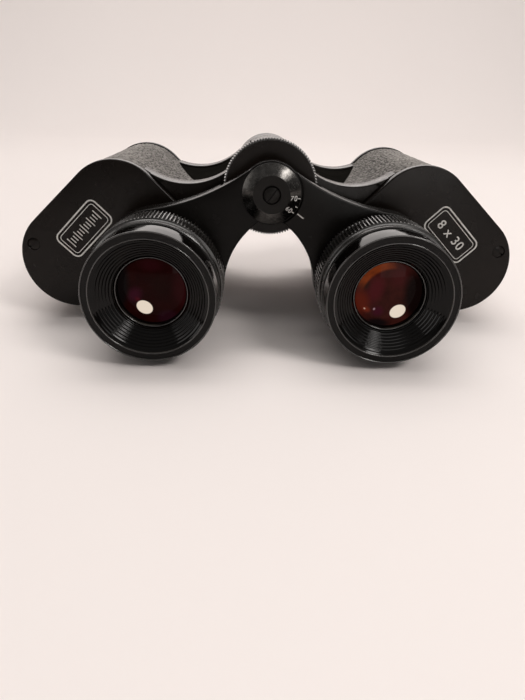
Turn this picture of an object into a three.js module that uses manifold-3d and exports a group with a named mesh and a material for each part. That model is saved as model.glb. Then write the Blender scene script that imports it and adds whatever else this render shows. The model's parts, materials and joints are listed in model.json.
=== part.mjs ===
// 8 x 30 porro-prism binoculars with centre focus, lying hinge side up.
// X runs across, Y runs from the eyepieces to the objectives, Z is up, in millimetres.
// The parts are drawn round the hinge axis, with y = 0 on the outer face of the eyepiece-side
// covers. The group at the end moves them so that the object stands on z = 0, centred in x and y.
import * as THREE from 'three';
import { mergeVertices } from 'three/addons/utils/BufferGeometryUtils.js';
import Module from 'manifold-3d';

const wasm = await Module();
wasm.setup();

// ---- Driving dimensions -------------------------------------------------------------------

const CLEARANCE = 0.3; // between any two neighbouring pieces

// Optical layout
const EYE_DISTANCE = 61; // between the eyepiece axes as drawn
const HINGE_TO_EYEPIECE = 37.8;
const PRISM_OFFSET = 20.2; // each prism moves the light sideways by this much

// Walls round the two openings of the housing covers, which set the round corners
const GUIDE_RADIUS = 13; // of the eyepiece barrel that slides in the sleeve
const COVER_RIM = 1.2;
const SPIGOT_RADIUS = 13.6; // of the objective tube, in its cover
const OBJECTIVE_COVER_RIM = 1.4;

// Housing
const CORNER_RADIUS = GUIDE_RADIUS + CLEARANCE + COVER_RIM; // round the eyepiece and the fold
const OUTER_CORNER_RADIUS = SPIGOT_RADIUS + CLEARANCE + OBJECTIVE_COVER_RIM; // round the objective
const COVER_THICKNESS = 2.8;
const COVER_EDGE_BEVEL = 0.5;
const HOUSING_LENGTH = 52;
const HOUSING_WALL = 2.4;
const SHELF_THICKNESS = 3;
const LEATHERETTE = 0.9;
const COVER_LIP = 0.4; // how far the covers stand out past the leatherette

// Hinge
const HUB_RADIUS = 11;
const SADDLE_RADIUS = 21; // hollow between the hub and the housing
const SADDLE_STEP = 0.7; // the web lies this much below the lug at its eyepiece end
const UNDERCUT_RADIUS = 8; // hollow under the hub
const HINGE_START = 1; // eye end of the first knuckle
const LUG_START = 2.2;
const LUG_THICKNESS = 6.8;
const FAR_LIP = 6.5; // the web rises to the lug's height again over this length at its far end
const KNUCKLE_LENGTH = 12;
const SPINDLE_RADIUS = 3.2;
const AXLE_PLAY = 0.4; // round the focus spindle
const AXLE_WALL = 1.4;
const AXLE_BORE = SPINDLE_RADIUS + AXLE_PLAY;
const AXLE_RADIUS = AXLE_BORE + AXLE_WALL;

// Bridge and focus drive
const ARM_FRONT = -13;
const ARM_THICKNESS = 7;
const ARM_ROOT_THICKNESS = 3.5; // of the arms in front of the wheel
const ARM_RING_RADIUS = 8.3;
const ARM_TOP_RADIUS = 60; // hollow of the upper edge
const ARM_ARCH_RADIUS = 23.5; // hollow of the lower edge
const ARM_ARCH_ROOT = 5.2; // the lower edge is tangent to this circle round the hinge
const SLEEVE_WALL = 1.6;
const BOSS_WALL = 2.3;
const BOSS_BORE = GUIDE_RADIUS + CLEARANCE + SLEEVE_WALL + 2 * CLEARANCE; // clears the sleeve
const BOSS_RADIUS = BOSS_BORE + BOSS_WALL;
const BOSS_CLAMP_DEPTH = 2.5;
const WHEEL_RADIUS = 13.3;
const WHEEL_THICKNESS = 4.3;
const WHEEL_TEETH = 60;
const WHEEL_TOOTH_DEPTH = 0.4;
const SPINDLE_END = 32;
const CAP_RADIUS = 7.9;
const CAP_FLAT_RADIUS = 4.7;
const CAP_HEIGHT = 2.3;
const CAP_EDGE = 0.4;
const CAP_SCREW_HEAD = 2;

// Eyepieces
const FOCUS_INWARD_TRAVEL = 4; // from the place drawn to the closest place
const DIOPTRE_TRAVEL = 1.1; // each way
const SLEEVE_FRONT = -6.2;
const CLAMP_STEP = 1.1; // the barrel is this much larger where the arm clamps it
const CLAMP_RADIUS = GUIDE_RADIUS + CLAMP_STEP;
const FLANGE_OVERLAP = 2.8;
const FLANGE_RADIUS = CLAMP_RADIUS + FLANGE_OVERLAP;
const FLANGE_THICKNESS = 1;
const NECK_STEP = 1;
const NECK_RADIUS = CLAMP_RADIUS + NECK_STEP;
const RING_WALL = 2.6;
const RING_RADIUS = NECK_RADIUS + CLEARANCE + RING_WALL;
const RING_RIBS = 72;
const RIB_DEPTH = 0.45;
const RING_FRONT = -27;
const CUP_SEAT_STEP = 1.2; // the eyecup screws on a step this much inside the neck
const CUP_SEAT_RADIUS = NECK_RADIUS - CUP_SEAT_STEP;
const CUP_WALL = 3.1;
const CUP_RADIUS = CUP_SEAT_RADIUS + CUP_WALL;
const CUP_LIP_WIDTH = 3;
const CUP_LIP_RADIUS = CUP_RADIUS - CUP_LIP_WIDTH;
const CUP_FRONT = -34.5;
const CUP_FLOOR = -30.1;
const BARREL_WALL = 1.3;
const TUBE_RADIUS = GUIDE_RADIUS - BARREL_WALL - CLEARANCE; // lens tube inside the right barrel
const TUBE_WALL = 1.3;
const EYE_LENS_RADIUS = 9.45;
const EYE_LENS_OPENING = 8.3;
const EYE_LENS_EDGE = 3;
const EYE_LENS_BULGE = 1.4;
const FIELD_LENS_RADIUS = TUBE_RADIUS - TUBE_WALL - CLEARANCE;
const FIELD_LENS_FRONT = -8.3;
const FIELD_LENS_THICKNESS = 3.2;
const THROAT_LEDGE = 1.6;
const THROAT_RADIUS = FIELD_LENS_RADIUS - THROAT_LEDGE;

// Prisms
const PRISM_PLAY = 1.1; // leaves room for the spring beside the prism
const HOUSING_SKIN = COVER_LIP + LEATHERETTE + CLEARANCE;
const NARROW_CORNER = Math.min(CORNER_RADIUS, OUTER_CORNER_RADIUS);
const PRISM_HALF_WIDTH = NARROW_CORNER - HOUSING_SKIN - HOUSING_WALL - PRISM_PLAY;
const SHELF_LEDGE = 0.4; // the prism's large face overlaps each window by this much
const SHELF_WINDOW_RADIUS = PRISM_HALF_WIDTH - SHELF_LEDGE;
const PRISM_HEIGHT = 18.5;
const PRISM_RIDGE = 1; // half width of the flat ground on the roof
const SPRING_THICKNESS = 0.6;
const SPRING_WIDTH = 8;

// Objectives
const OBJECTIVE_LENS_RADIUS = 15.3;
const OBJECTIVE_LENS_EDGE = 3;
const OBJECTIVE_LENS_DEPTH = 8.2; // from the end of the tube to the seat of the lens
const CELL_WALL = 1.2;
const OBJECTIVE_TUBE_WALL = 1.1;
const OBJECTIVE_TUBE_RADIUS = OBJECTIVE_LENS_RADIUS + CELL_WALL + OBJECTIVE_TUBE_WALL + 2 * CLEARANCE;
const OBJECTIVE_FLANGE_STEP = 1.2;
const OBJECTIVE_TUBE_LENGTH = 22.3;
const RIM_WALL = 0.9;
const RIM_RADIUS = OBJECTIVE_TUBE_RADIUS + CLEARANCE + RIM_WALL;
const RIM_LENGTH = 8;
const RIM_LIP = 1.2;
const RIM_OPENING = OBJECTIVE_LENS_RADIUS + 1.1;

// Fittings
const SCREW_HEAD_RADIUS = 1.8;
const SCREW_SHANK_RADIUS = 1.1;
const SCREW_LENGTH = 6;
const SCREW_OUT = 11.2; // from the objective axis outward
const SCREW_UP = 4.2;
const LUG_EYE_RADIUS = 1.5;
const LUG_EYE_SPACING = 5;
const LUG_BAR = 1.8;

// ---- Places worked out from the driving dimensions ------------------------------------------

const eyeX = EYE_DISTANCE / 2;
const eye = new THREE.Vector2(eyeX, -Math.sqrt(HINGE_TO_EYEPIECE ** 2 - eyeX ** 2));
const foldStep = PRISM_OFFSET * Math.SQRT1_2;
const fold = eye.clone().add(new THREE.Vector2(foldStep, foldStep));
const objective = fold.clone().add(new THREE.Vector2(foldStep, -foldStep));
const hinge = new THREE.Vector2(0, 0);

const housingStart = COVER_THICKNESS + CLEARANCE;
const housingEnd = housingStart + HOUSING_LENGTH;
const farCoverStart = housingEnd + CLEARANCE;
const farCoverEnd = farCoverStart + COVER_THICKNESS;
const shelfStart = (housingStart + housingEnd - SHELF_THICKNESS) / 2;
const shelfEnd = shelfStart + SHELF_THICKNESS;
const tubeStart = farCoverEnd + CLEARANCE;
const tubeEnd = tubeStart + OBJECTIVE_TUBE_LENGTH;
const rimEnd = tubeEnd + CLEARANCE + RIM_LIP;
const armBack = ARM_FRONT + ARM_THICKNESS;
const armRootBack = ARM_FRONT + ARM_ROOT_THICKNESS;
const wheelEnd = HINGE_START - CLEARANCE;
const wheelStart = wheelEnd - WHEEL_THICKNESS;
const flangeFront = ARM_FRONT - CLEARANCE - FLANGE_THICKNESS;
const ringBack = flangeFront - DIOPTRE_TRAVEL - CLEARANCE;
const barrelEnd = -CLEARANCE - FOCUS_INWARD_TRAVEL + COVER_THICKNESS + CLEARANCE;
const cupBack = RING_FRONT - CLEARANCE;
const capBack = ARM_FRONT - CLEARANCE;

const housingOutset = -HOUSING_SKIN;
const corners = [
  { at: objective, radius: OUTER_CORNER_RADIUS },
  { at: fold, radius: CORNER_RADIUS },
  { at: eye, radius: CORNER_RADIUS },
];

// ---- Shapes ---------------------------------------------------------------------------------

const ARC_STEP = THREE.MathUtils.degToRad(13);
const ROUND = 28; // facets round a large ring
const SMALL_ROUND = 12; // facets round a screw or a spindle

// Points on an arc about a centre, anticlockwise from one angle to the next.
function arc(centre, radius, from, to) {
  const turn = THREE.MathUtils.euclideanModulo(to - from, 2 * Math.PI);
  const steps = Math.max(1, Math.ceil(turn / ARC_STEP));
  return Array.from({ length: steps + 1 }, (_, i) => {
    const angle = from + (turn * i) / steps;
    return new THREE.Vector2(Math.cos(angle), Math.sin(angle)).multiplyScalar(radius).add(centre);
  });
}

// Tight outline round discs given anticlockwise, grown or shrunk by an outset.
function outlineRound(discs, outset = 0) {
  const normals = discs.map((disc, i) => {
    const next = discs[(i + 1) % discs.length];
    const step = next.at.clone().sub(disc.at);
    return step.angle() - Math.acos((disc.radius - next.radius) / step.length());
  });
  return discs.flatMap((disc, i) => {
    const before = normals[(i + discs.length - 1) % discs.length];
    return arc(disc.at, disc.radius + outset, before, normals[i]);
  });
}

// Centre of the circle that touches two discs from outside, to the left of the line a to b.
function fillet(a, radiusA, b, radiusB, radius) {
  const line = b.clone().sub(a);
  const span = line.length();
  const toA = radiusA + radius;
  const toB = radiusB + radius;
  const along = (toA ** 2 - toB ** 2 + span ** 2) / (2 * span);
  const aside = Math.sqrt(toA ** 2 - along ** 2);
  const unit = line.normalize();
  const left = new THREE.Vector2(-unit.y, unit.x);
  return a.clone().addScaledVector(unit, along).addScaledVector(left, aside);
}

// Web that joins a disc at the hinge to a disc further out, hollow above and below.
function webOutline(outer, outerRadius, top, bottom) {
  const above = fillet(hinge, top.root, outer.top, outerRadius, top.radius);
  const below = fillet(outer.bottom, outerRadius, hinge, bottom.root, bottom.radius);
  const angleFrom = (centre, to) => to.clone().sub(centre).angle();
  const topEdge = arc(above, top.radius + top.drop, angleFrom(above, hinge), angleFrom(above, outer.top));
  const bottomEdge = arc(below, bottom.radius, angleFrom(below, outer.bottom), angleFrom(below, hinge));
  return [hinge, ...topEdge, outer.top, outer.bottom, ...bottomEdge];
}

// A flat outline in x and z, carried along y. A bevel runs round both faces.
function plate(points, start, end, { holes = [], bevel = 0 } = {}) {
  const shape = new THREE.Shape(points);
  for (const hole of holes) shape.holes.push(new THREE.Path(hole));
  const options = {
    depth: end - start - 2 * bevel,
    bevelEnabled: bevel > 0,
    bevelThickness: bevel,
    bevelSize: bevel,
    bevelOffset: -bevel,
    bevelSegments: 1,
  };
  return new THREE.ExtrudeGeometry(shape, options).rotateX(Math.PI / 2).translate(0, end - bevel, 0);
}

// Full circle of points, clockwise so that it can serve as a hole or as a disc.
function circle(centre, radius, facets = ROUND) {
  return Array.from({ length: facets }, (_, i) => {
    const angle = (-2 * Math.PI * i) / facets;
    return new THREE.Vector2(Math.cos(angle), Math.sin(angle)).multiplyScalar(radius).add(centre);
  });
}

function disc(centre, radius, start, end, facets = ROUND) {
  return plate(circle(centre, radius, facets), start, end);
}

// Body of revolution about the y axis from [radius, y] pairs, closed on the axis or on itself.
function turned(profile, facets = ROUND) {
  const points = profile.map(([radius, y]) => new THREE.Vector2(radius, y));
  if (THREE.ShapeUtils.area(points) < 0) points.reverse();
  const onAxis = points.filter((point) => point.x === 0).length;
  if (onAxis > 0) while (points[0].x !== 0 || points.at(-1).x !== 0) points.push(points.shift());
  else points.push(points[0].clone());
  return new THREE.LatheGeometry(points, facets);
}

function tube(outer, inner, start, end, facets = ROUND) {
  return turned([[inner, start], [outer, start], [outer, end], [inner, end]], facets);
}

function ribbedOutline(radius, ribs, depth) {
  return Array.from({ length: 2 * ribs }, (_, i) => {
    const angle = (Math.PI * i) / ribs;
    const reach = i % 2 ? radius - depth : radius;
    return new THREE.Vector2(Math.cos(angle), Math.sin(angle)).multiplyScalar(reach);
  });
}

// ---- Cutting and joining --------------------------------------------------------------------

function solid(geometry) {
  const bare = new THREE.BufferGeometry();
  bare.setAttribute('position', geometry.getAttribute('position'));
  if (geometry.index) bare.setIndex(geometry.index);
  const merged = mergeVertices(bare, 1e-4);
  return new wasm.Manifold(
    new wasm.Mesh({
      numProp: 3,
      vertProperties: merged.getAttribute('position').array,
      triVerts: new Uint32Array(merged.index.array),
    }),
  );
}

function geometryOf(body) {
  const mesh = body.getMesh();
  const geometry = new THREE.BufferGeometry();
  geometry.setAttribute('position', new THREE.BufferAttribute(mesh.vertProperties, 3));
  geometry.setIndex(new THREE.BufferAttribute(mesh.triVerts, 1));
  geometry.computeVertexNormals();
  return geometry;
}

const join = (...parts) => parts.map(solid).reduce((whole, part) => whole.add(part));
const cut = (body, ...tools) => tools.map(solid).reduce((left, tool) => left.subtract(tool), body);

// ---- Materials ------------------------------------------------------------------------------

const finish = (color, roughness, metalness) => ({ color, roughness, metalness });
const BLACK_PAINT = finish(0x1c1a19, 0.42, 0.1);
const LEATHERETTE_BLACK = finish(0x26231f, 0.75, 0);
const GLOSS_BLACK = finish(0x0c0c0d, 0.15, 0);
const MATT_BLACK = finish(0x101010, 0.8, 0);
const BLACKENED_METAL = finish(0x1a1a1c, 0.35, 0.8);
const BRASS = finish(0xa08040, 0.35, 1);
const SPRING_STEEL = finish(0x8c8c8c, 0.35, 1);
const COATED_LENS = finish(0x3a1018, 0.05, 0);
const CLEAR_GLASS = finish(0xdfe8e6, 0.03, 0);

function piece(name, geometry, look, place = [0, 0, 0]) {
  const mesh = new THREE.Mesh(geometry, new THREE.MeshStandardMaterial(look));
  mesh.name = name;
  mesh.position.set(...place);
  return mesh;
}

const onEye = [eye.x, 0, eye.y];
const onObjective = [objective.x, 0, objective.y];

// ---- Housing and hinge ----------------------------------------------------------------------

const housingWeb = { top: fold, bottom: eye };
const saddle = { root: HUB_RADIUS, radius: SADDLE_RADIUS, drop: 0 };
const undercut = { root: HUB_RADIUS, radius: UNDERCUT_RADIUS };
const lugOutline = webOutline(housingWeb, CORNER_RADIUS, saddle, undercut);
const webLine = webOutline(housingWeb, CORNER_RADIUS, { ...saddle, drop: SADDLE_STEP }, undercut);

// The knuckles of the two barrels take turns along the hinge: left, right, left, right.
const knucklePitch = KNUCKLE_LENGTH + CLEARANCE;
const knuckleStart = (index) => HINGE_START + index * knucklePitch;
const webEnd = knuckleStart(4) - CLEARANCE;
const ownKnuckles = { left: [0, 2], right: [1, 3] };

function prismHousing(side) {
  const other = ownKnuckles[side === 'left' ? 'right' : 'left'];
  const relief = HUB_RADIUS + CLEARANCE;
  const shell = join(
    plate(outlineRound(corners, housingOutset), housingStart, housingEnd),
    plate(lugOutline, LUG_START, LUG_START + LUG_THICKNESS),
    plate(webLine, LUG_START + LUG_THICKNESS, webEnd - FAR_LIP),
    plate(lugOutline, webEnd - FAR_LIP, webEnd),
    ...ownKnuckles[side].map((i) =>
      disc(hinge, HUB_RADIUS, knuckleStart(i), knuckleStart(i) + KNUCKLE_LENGTH)),
  );
  const hollow = outlineRound(corners, housingOutset - HOUSING_WALL);
  return cut(
    shell,
    plate(outlineRound(corners, CLEARANCE), HINGE_START - CLEARANCE, housingStart),
    plate(hollow, housingStart - CLEARANCE, shelfStart),
    plate(hollow, shelfEnd, housingEnd + CLEARANCE),
    ...corners.map(({ at }) => disc(at, SHELF_WINDOW_RADIUS, shelfStart - 1, shelfEnd + 1)),
    ...other.map((i) =>
      disc(hinge, relief, knuckleStart(i) - CLEARANCE, knuckleStart(i) + KNUCKLE_LENGTH + CLEARANCE)),
    disc(hinge, AXLE_RADIUS + CLEARANCE, HINGE_START - 1, webEnd + 1, SMALL_ROUND),
  );
}

// The leatherette wraps the housing between the covers and stops where the hinge web begins.
function leatherette() {
  const outside = outlineRound(corners, -COVER_LIP);
  const inside = outlineRound(corners, -COVER_LIP - LEATHERETTE).reverse();
  const saddleTop = fillet(hinge, HUB_RADIUS, fold, CORNER_RADIUS, SADDLE_RADIUS);
  const hollowBelow = fillet(eye, CORNER_RADIUS, hinge, HUB_RADIUS, UNDERCUT_RADIUS);
  const webGap = [fold, saddleTop, hinge, hollowBelow, eye];
  return cut(
    solid(plate(outside, housingStart, housingEnd, { holes: [inside] })),
    plate(webGap, housingStart - 1, housingEnd + 1),
  );
}

const screwAt = objective.clone().add(new THREE.Vector2(SCREW_OUT, SCREW_UP));

function eyepieceCover() {
  const holes = [
    circle(eye, GUIDE_RADIUS + CLEARANCE),
    circle(screwAt, SCREW_SHANK_RADIUS + CLEARANCE, SMALL_ROUND),
  ];
  const sink = SCREW_HEAD_RADIUS + CLEARANCE;
  return cut(
    solid(plate(outlineRound(corners), 0, COVER_THICKNESS, { holes, bevel: COVER_EDGE_BEVEL })),
    disc(screwAt, sink, -1, COVER_THICKNESS / 2, SMALL_ROUND),
  );
}

function objectiveCover() {
  const holes = [
    circle(objective, SPIGOT_RADIUS + CLEARANCE),
    circle(fold, SCREW_SHANK_RADIUS + CLEARANCE, SMALL_ROUND),
  ];
  const options = { holes, bevel: COVER_EDGE_BEVEL };
  return cut(
    solid(plate(outlineRound(corners), farCoverStart, farCoverEnd, options)),
    disc(fold, SCREW_HEAD_RADIUS + CLEARANCE, farCoverStart + COVER_THICKNESS / 2, farCoverEnd + 1, SMALL_ROUND),
  );
}

// Slotted countersunk screw along y with its head at the given place, pointing inward.
function screw(head, inward) {
  const seat = head + (inward * COVER_THICKNESS) / 2 - inward * CLEARANCE;
  const tip = head + inward * (COVER_THICKNESS / 2 + SCREW_LENGTH * 0.1);
  const profile = [
    [0, head],
    [SCREW_HEAD_RADIUS, head],
    [SCREW_HEAD_RADIUS, seat],
    [SCREW_SHANK_RADIUS, seat],
    [SCREW_SHANK_RADIUS, tip],
    [0, tip],
  ];
  return turned(profile, SMALL_ROUND);
}

// ---- Prisms ---------------------------------------------------------------------------------

// A right-angle prism with rounded ends: its large face looks along +y and its roof ridge runs
// across, at the far side. It is drawn about its own middle, with the large face on y = 0.
function prism() {
  const reach = PRISM_OFFSET / 2;
  const ends = [
    { at: new THREE.Vector2(reach, 0), radius: PRISM_HALF_WIDTH },
    { at: new THREE.Vector2(-reach, 0), radius: PRISM_HALF_WIDTH },
  ];
  const half = reach + PRISM_HALF_WIDTH;
  const roof = [
    new THREE.Vector2(-half, 0),
    new THREE.Vector2(half, 0),
    new THREE.Vector2(PRISM_RIDGE, -PRISM_HEIGHT),
    new THREE.Vector2(-PRISM_RIDGE, -PRISM_HEIGHT),
  ];
  const wedge = new THREE.ExtrudeGeometry(new THREE.Shape(roof), {
    depth: 2 * PRISM_HALF_WIDTH + 2,
    bevelEnabled: false,
  }).translate(0, 0, -PRISM_HALF_WIDTH - 1);
  return solid(plate(outlineRound(ends), -PRISM_HEIGHT, 0)).intersect(solid(wedge));
}

// Spring strap over the ridge of the prism, with a leg down each side.
function prismSpring() {
  const inside = PRISM_HALF_WIDTH + CLEARANCE;
  const outside = inside + SPRING_THICKNESS;
  const top = -PRISM_HEIGHT - CLEARANCE;
  const strap = [
    [-outside, 0],
    [-outside, top - SPRING_THICKNESS],
    [outside, top - SPRING_THICKNESS],
    [outside, 0],
    [inside, 0],
    [inside, top],
    [-inside, top],
    [-inside, 0],
  ].map(([across, y]) => new THREE.Vector2(across, y));
  return new THREE.ExtrudeGeometry(new THREE.Shape(strap), { depth: SPRING_WIDTH, bevelEnabled: false })
    .translate(0, 0, -SPRING_WIDTH / 2)
    .rotateY(Math.PI / 2);
}

// The first prism joins the objective axis to the fold, the second joins the fold to the eyepiece.
function prismSet(side) {
  const set = new THREE.Group();
  const first = { between: [objective, fold], face: shelfStart - CLEARANCE, turn: 0, name: 'first' };
  const second = { between: [fold, eye], face: shelfEnd + CLEARANCE, turn: Math.PI, name: 'second' };
  for (const { between, face, turn, name } of [first, second]) {
    const middle = between[0].clone().add(between[1]).multiplyScalar(0.5);
    const direction = between[1].clone().sub(between[0]).angle();
    const holder = new THREE.Group();
    holder.position.set(middle.x, face, middle.y);
    holder.rotation.set(turn, turn ? direction : -direction, 0, 'XYZ');
    holder.add(piece(`${side}_${name}_prism`, geometryOf(prism()), CLEAR_GLASS));
    holder.add(piece(`${side}_${name}_prism_spring`, prismSpring(), SPRING_STEEL));
    set.add(holder);
  }
  return set;
}

// ---- Objective ------------------------------------------------------------------------------

const tubeBore = OBJECTIVE_TUBE_RADIUS - OBJECTIVE_TUBE_WALL;
const cellRadius = tubeBore - CLEARANCE;
const lensBore = OBJECTIVE_LENS_RADIUS + CLEARANCE;
const lensSeat = tubeEnd - OBJECTIVE_LENS_DEPTH;
const spigotBore = SPIGOT_RADIUS - OBJECTIVE_TUBE_WALL;
const flangeRadius = OBJECTIVE_TUBE_RADIUS - OBJECTIVE_FLANGE_STEP;

function objectiveTube() {
  return turned([
    [spigotBore, farCoverStart],
    [SPIGOT_RADIUS, farCoverStart],
    [SPIGOT_RADIUS, tubeStart],
    [flangeRadius, tubeStart],
    [flangeRadius, tubeStart + 2],
    [OBJECTIVE_TUBE_RADIUS, tubeStart + 3],
    [OBJECTIVE_TUBE_RADIUS, tubeEnd],
    [tubeBore, tubeEnd],
    [tubeBore, tubeStart + 4],
    [spigotBore, tubeStart + 4],
  ]);
}

function objectiveCell() {
  return turned([
    [spigotBore, lensSeat - 7],
    [cellRadius, lensSeat - 7],
    [cellRadius, tubeEnd - 1],
    [lensBore, tubeEnd - 1],
    [lensBore, lensSeat],
    [lensBore - CELL_WALL, lensSeat],
    [spigotBore, lensSeat - 4],
  ]);
}

function lens(radius, edge, frontBulge, backBulge) {
  const steps = 3;
  const dome = (bulge, base, away) =>
    Array.from({ length: steps + 1 }, (_, i) => [
      (radius * i) / steps,
      base + away * bulge * (1 - (i / steps) ** 2),
    ]);
  return turned([...dome(frontBulge, 0, -1), ...dome(backBulge, edge, 1).reverse()], 20);
}

function objectiveRim() {
  const outside = OBJECTIVE_TUBE_RADIUS + CLEARANCE;
  return turned([
    [outside, rimEnd - RIM_LENGTH],
    [RIM_RADIUS - 0.5, rimEnd - RIM_LENGTH],
    [RIM_RADIUS, rimEnd - RIM_LENGTH + 0.5],
    [RIM_RADIUS, rimEnd - 0.5],
    [RIM_RADIUS - 0.5, rimEnd],
    [RIM_OPENING, rimEnd],
    [RIM_OPENING, tubeEnd + CLEARANCE],
    [outside, tubeEnd + CLEARANCE],
  ]);
}

function strapLug() {
  const outward = new THREE.Vector2(1, 0);
  const eyeOut = OUTER_CORNER_RADIUS + CLEARANCE + LUG_BAR + LUG_EYE_RADIUS;
  const ends = [-1, 1].map((way) => ({
    at: objective.clone().addScaledVector(outward, eyeOut).add(new THREE.Vector2(0, (way * LUG_EYE_SPACING) / 2)),
    radius: LUG_EYE_RADIUS + LUG_BAR,
  }));
  const slot = outlineRound(ends, -LUG_BAR).reverse();
  return cut(
    solid(plate(outlineRound(ends), farCoverStart, farCoverEnd, { holes: [slot] })),
    disc(objective, OUTER_CORNER_RADIUS + CLEARANCE, farCoverStart - 1, farCoverEnd + 1),
  );
}

// ---- Eyepieces ------------------------------------------------------------------------------

const lensTubeBore = FIELD_LENS_RADIUS + CLEARANCE;
const lensPocket = EYE_LENS_RADIUS + CLEARANCE;
const lensLedge = -23.7;
const eyeLensStart = lensLedge - CLEARANCE - EYE_LENS_EDGE;
const tubeFront = CUP_FLOOR + CLEARANCE;
const tubeCollarBack = ringBack - DIOPTRE_TRAVEL - 1;

// Inside of the eyepiece from its inner end to its eye end.
const opticsBore = (innerEnd) => [
  [lensPocket, tubeFront],
  [lensPocket, lensLedge],
  [THROAT_RADIUS, lensLedge],
  [THROAT_RADIUS, FIELD_LENS_FRONT - CLEARANCE],
  [lensTubeBore, FIELD_LENS_FRONT - CLEARANCE],
  [lensTubeBore, innerEnd],
];

// Outside of the eye end, under the ribbed ring and the eyecup.
const eyeEnd = [
  [NECK_RADIUS, cupBack + CLEARANCE],
  [CUP_SEAT_RADIUS - CLEARANCE, cupBack + CLEARANCE],
  [CUP_SEAT_RADIUS - CLEARANCE, tubeFront],
];

// Outside of the part held in the bridge arm, from the inner end to the flange.
const clampedPart = [
  [GUIDE_RADIUS, barrelEnd],
  [GUIDE_RADIUS, ARM_FRONT + BOSS_CLAMP_DEPTH],
  [CLAMP_RADIUS, ARM_FRONT + BOSS_CLAMP_DEPTH],
  [CLAMP_RADIUS, capBack],
  [FLANGE_RADIUS, capBack],
  [FLANGE_RADIUS, flangeFront],
  [NECK_RADIUS, flangeFront],
];

function leftBarrel() {
  return turned([...clampedPart, ...eyeEnd, ...opticsBore(barrelEnd)]);
}

function rightBarrel() {
  const bore = TUBE_RADIUS + CLEARANCE;
  return turned([...clampedPart, [NECK_RADIUS, ringBack], [bore, ringBack], [bore, barrelEnd]]);
}

function rightLensTube() {
  const innerEnd = barrelEnd - DIOPTRE_TRAVEL - 1;
  return turned([
    [TUBE_RADIUS, innerEnd],
    [TUBE_RADIUS, tubeCollarBack],
    [NECK_RADIUS, tubeCollarBack],
    ...eyeEnd,
    ...opticsBore(innerEnd),
  ]);
}

function ribbedRing() {
  const outline = ribbedOutline(RING_RADIUS, RING_RIBS, RIB_DEPTH);
  const holes = [circle(hinge, NECK_RADIUS + CLEARANCE)];
  return plate(outline, RING_FRONT, ringBack, { holes });
}

function eyecup() {
  return turned([
    [CUP_SEAT_RADIUS, cupBack],
    [CUP_RADIUS - 0.4, cupBack],
    [CUP_RADIUS, cupBack - 0.8],
    [CUP_RADIUS - 0.3, CUP_FRONT + 1.2],
    [CUP_RADIUS - 1.2, CUP_FRONT],
    [CUP_LIP_RADIUS, CUP_FRONT],
    [EYE_LENS_RADIUS + 0.6, CUP_FLOOR - 0.5],
    [EYE_LENS_RADIUS + 0.6, CUP_FLOOR],
    [CUP_SEAT_RADIUS, CUP_FLOOR],
  ]);
}

// ---- Bridge ---------------------------------------------------------------------------------

const armOutline = webOutline(
  { top: eye, bottom: eye },
  BOSS_RADIUS,
  { root: ARM_RING_RADIUS, radius: ARM_TOP_RADIUS, drop: 0 },
  { root: ARM_ARCH_ROOT, radius: ARM_ARCH_RADIUS },
);
const ringSplit = (ARM_FRONT + armRootBack) / 2; // where the two hinge rings of the arms meet

function bridgeArm(side) {
  const keepsFront = side === 'left';
  const ring = ARM_RING_RADIUS;
  const lap = keepsFront ? [ringSplit - CLEARANCE / 2, 1] : [ARM_FRONT - 1, ringSplit + CLEARANCE / 2];
  const ownRing = keepsFront ? [ARM_FRONT, ringSplit - CLEARANCE / 2] : [ringSplit + CLEARANCE / 2, armRootBack];
  const blank = cut(
    join(plate(armOutline, ARM_FRONT, armBack), disc(eye, BOSS_RADIUS, ARM_FRONT, armBack)),
    disc(hinge, WHEEL_RADIUS + 2 * CLEARANCE, armRootBack, armBack + 1),
    disc(hinge, ring + CLEARANCE, ...lap),
  );
  return cut(
    blank.add(solid(disc(hinge, ring, ...ownRing))),
    disc(hinge, SPINDLE_RADIUS + CLEARANCE, ARM_FRONT - 1, armBack, SMALL_ROUND),
    disc(eye, CLAMP_RADIUS + CLEARANCE, ARM_FRONT - 1, armBack + 1),
    disc(eye, BOSS_BORE, ARM_FRONT + BOSS_CLAMP_DEPTH, armBack + 1),
  );
}

function scaleCap() {
  const front = capBack - CAP_HEIGHT;
  return turned([
    [SCREW_SHANK_RADIUS + CLEARANCE, capBack],
    [CAP_RADIUS, capBack],
    [CAP_RADIUS, capBack - CAP_EDGE],
    [CAP_FLAT_RADIUS, front],
    [CAP_SCREW_HEAD + CLEARANCE, front],
    [CAP_SCREW_HEAD + CLEARANCE, front + 0.8],
    [SCREW_SHANK_RADIUS + CLEARANCE, front + 0.8],
  ], ROUND);
}

function capScrew() {
  const front = capBack - CAP_HEIGHT;
  return turned([
    [0, front - 0.7],
    [CAP_SCREW_HEAD, front - 0.7],
    [CAP_SCREW_HEAD, front + 0.5],
    [SCREW_SHANK_RADIUS, front + 0.5],
    [SCREW_SHANK_RADIUS, front + SCREW_LENGTH],
    [0, front + SCREW_LENGTH],
  ], SMALL_ROUND);
}

function focusSpindle() {
  const holeEnd = capBack - CAP_HEIGHT + SCREW_LENGTH + CLEARANCE;
  return turned([
    [0, holeEnd],
    [SCREW_SHANK_RADIUS + CLEARANCE, holeEnd],
    [SCREW_SHANK_RADIUS + CLEARANCE, ARM_FRONT],
    [SPINDLE_RADIUS, ARM_FRONT],
    [SPINDLE_RADIUS, SPINDLE_END],
    [0, SPINDLE_END],
  ], SMALL_ROUND);
}

function focusWheel() {
  const outline = ribbedOutline(WHEEL_RADIUS, WHEEL_TEETH, WHEEL_TOOTH_DEPTH);
  const holes = [circle(hinge, SPINDLE_RADIUS + CLEARANCE, SMALL_ROUND)];
  return plate(outline, wheelStart, wheelEnd, { holes });
}

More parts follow.
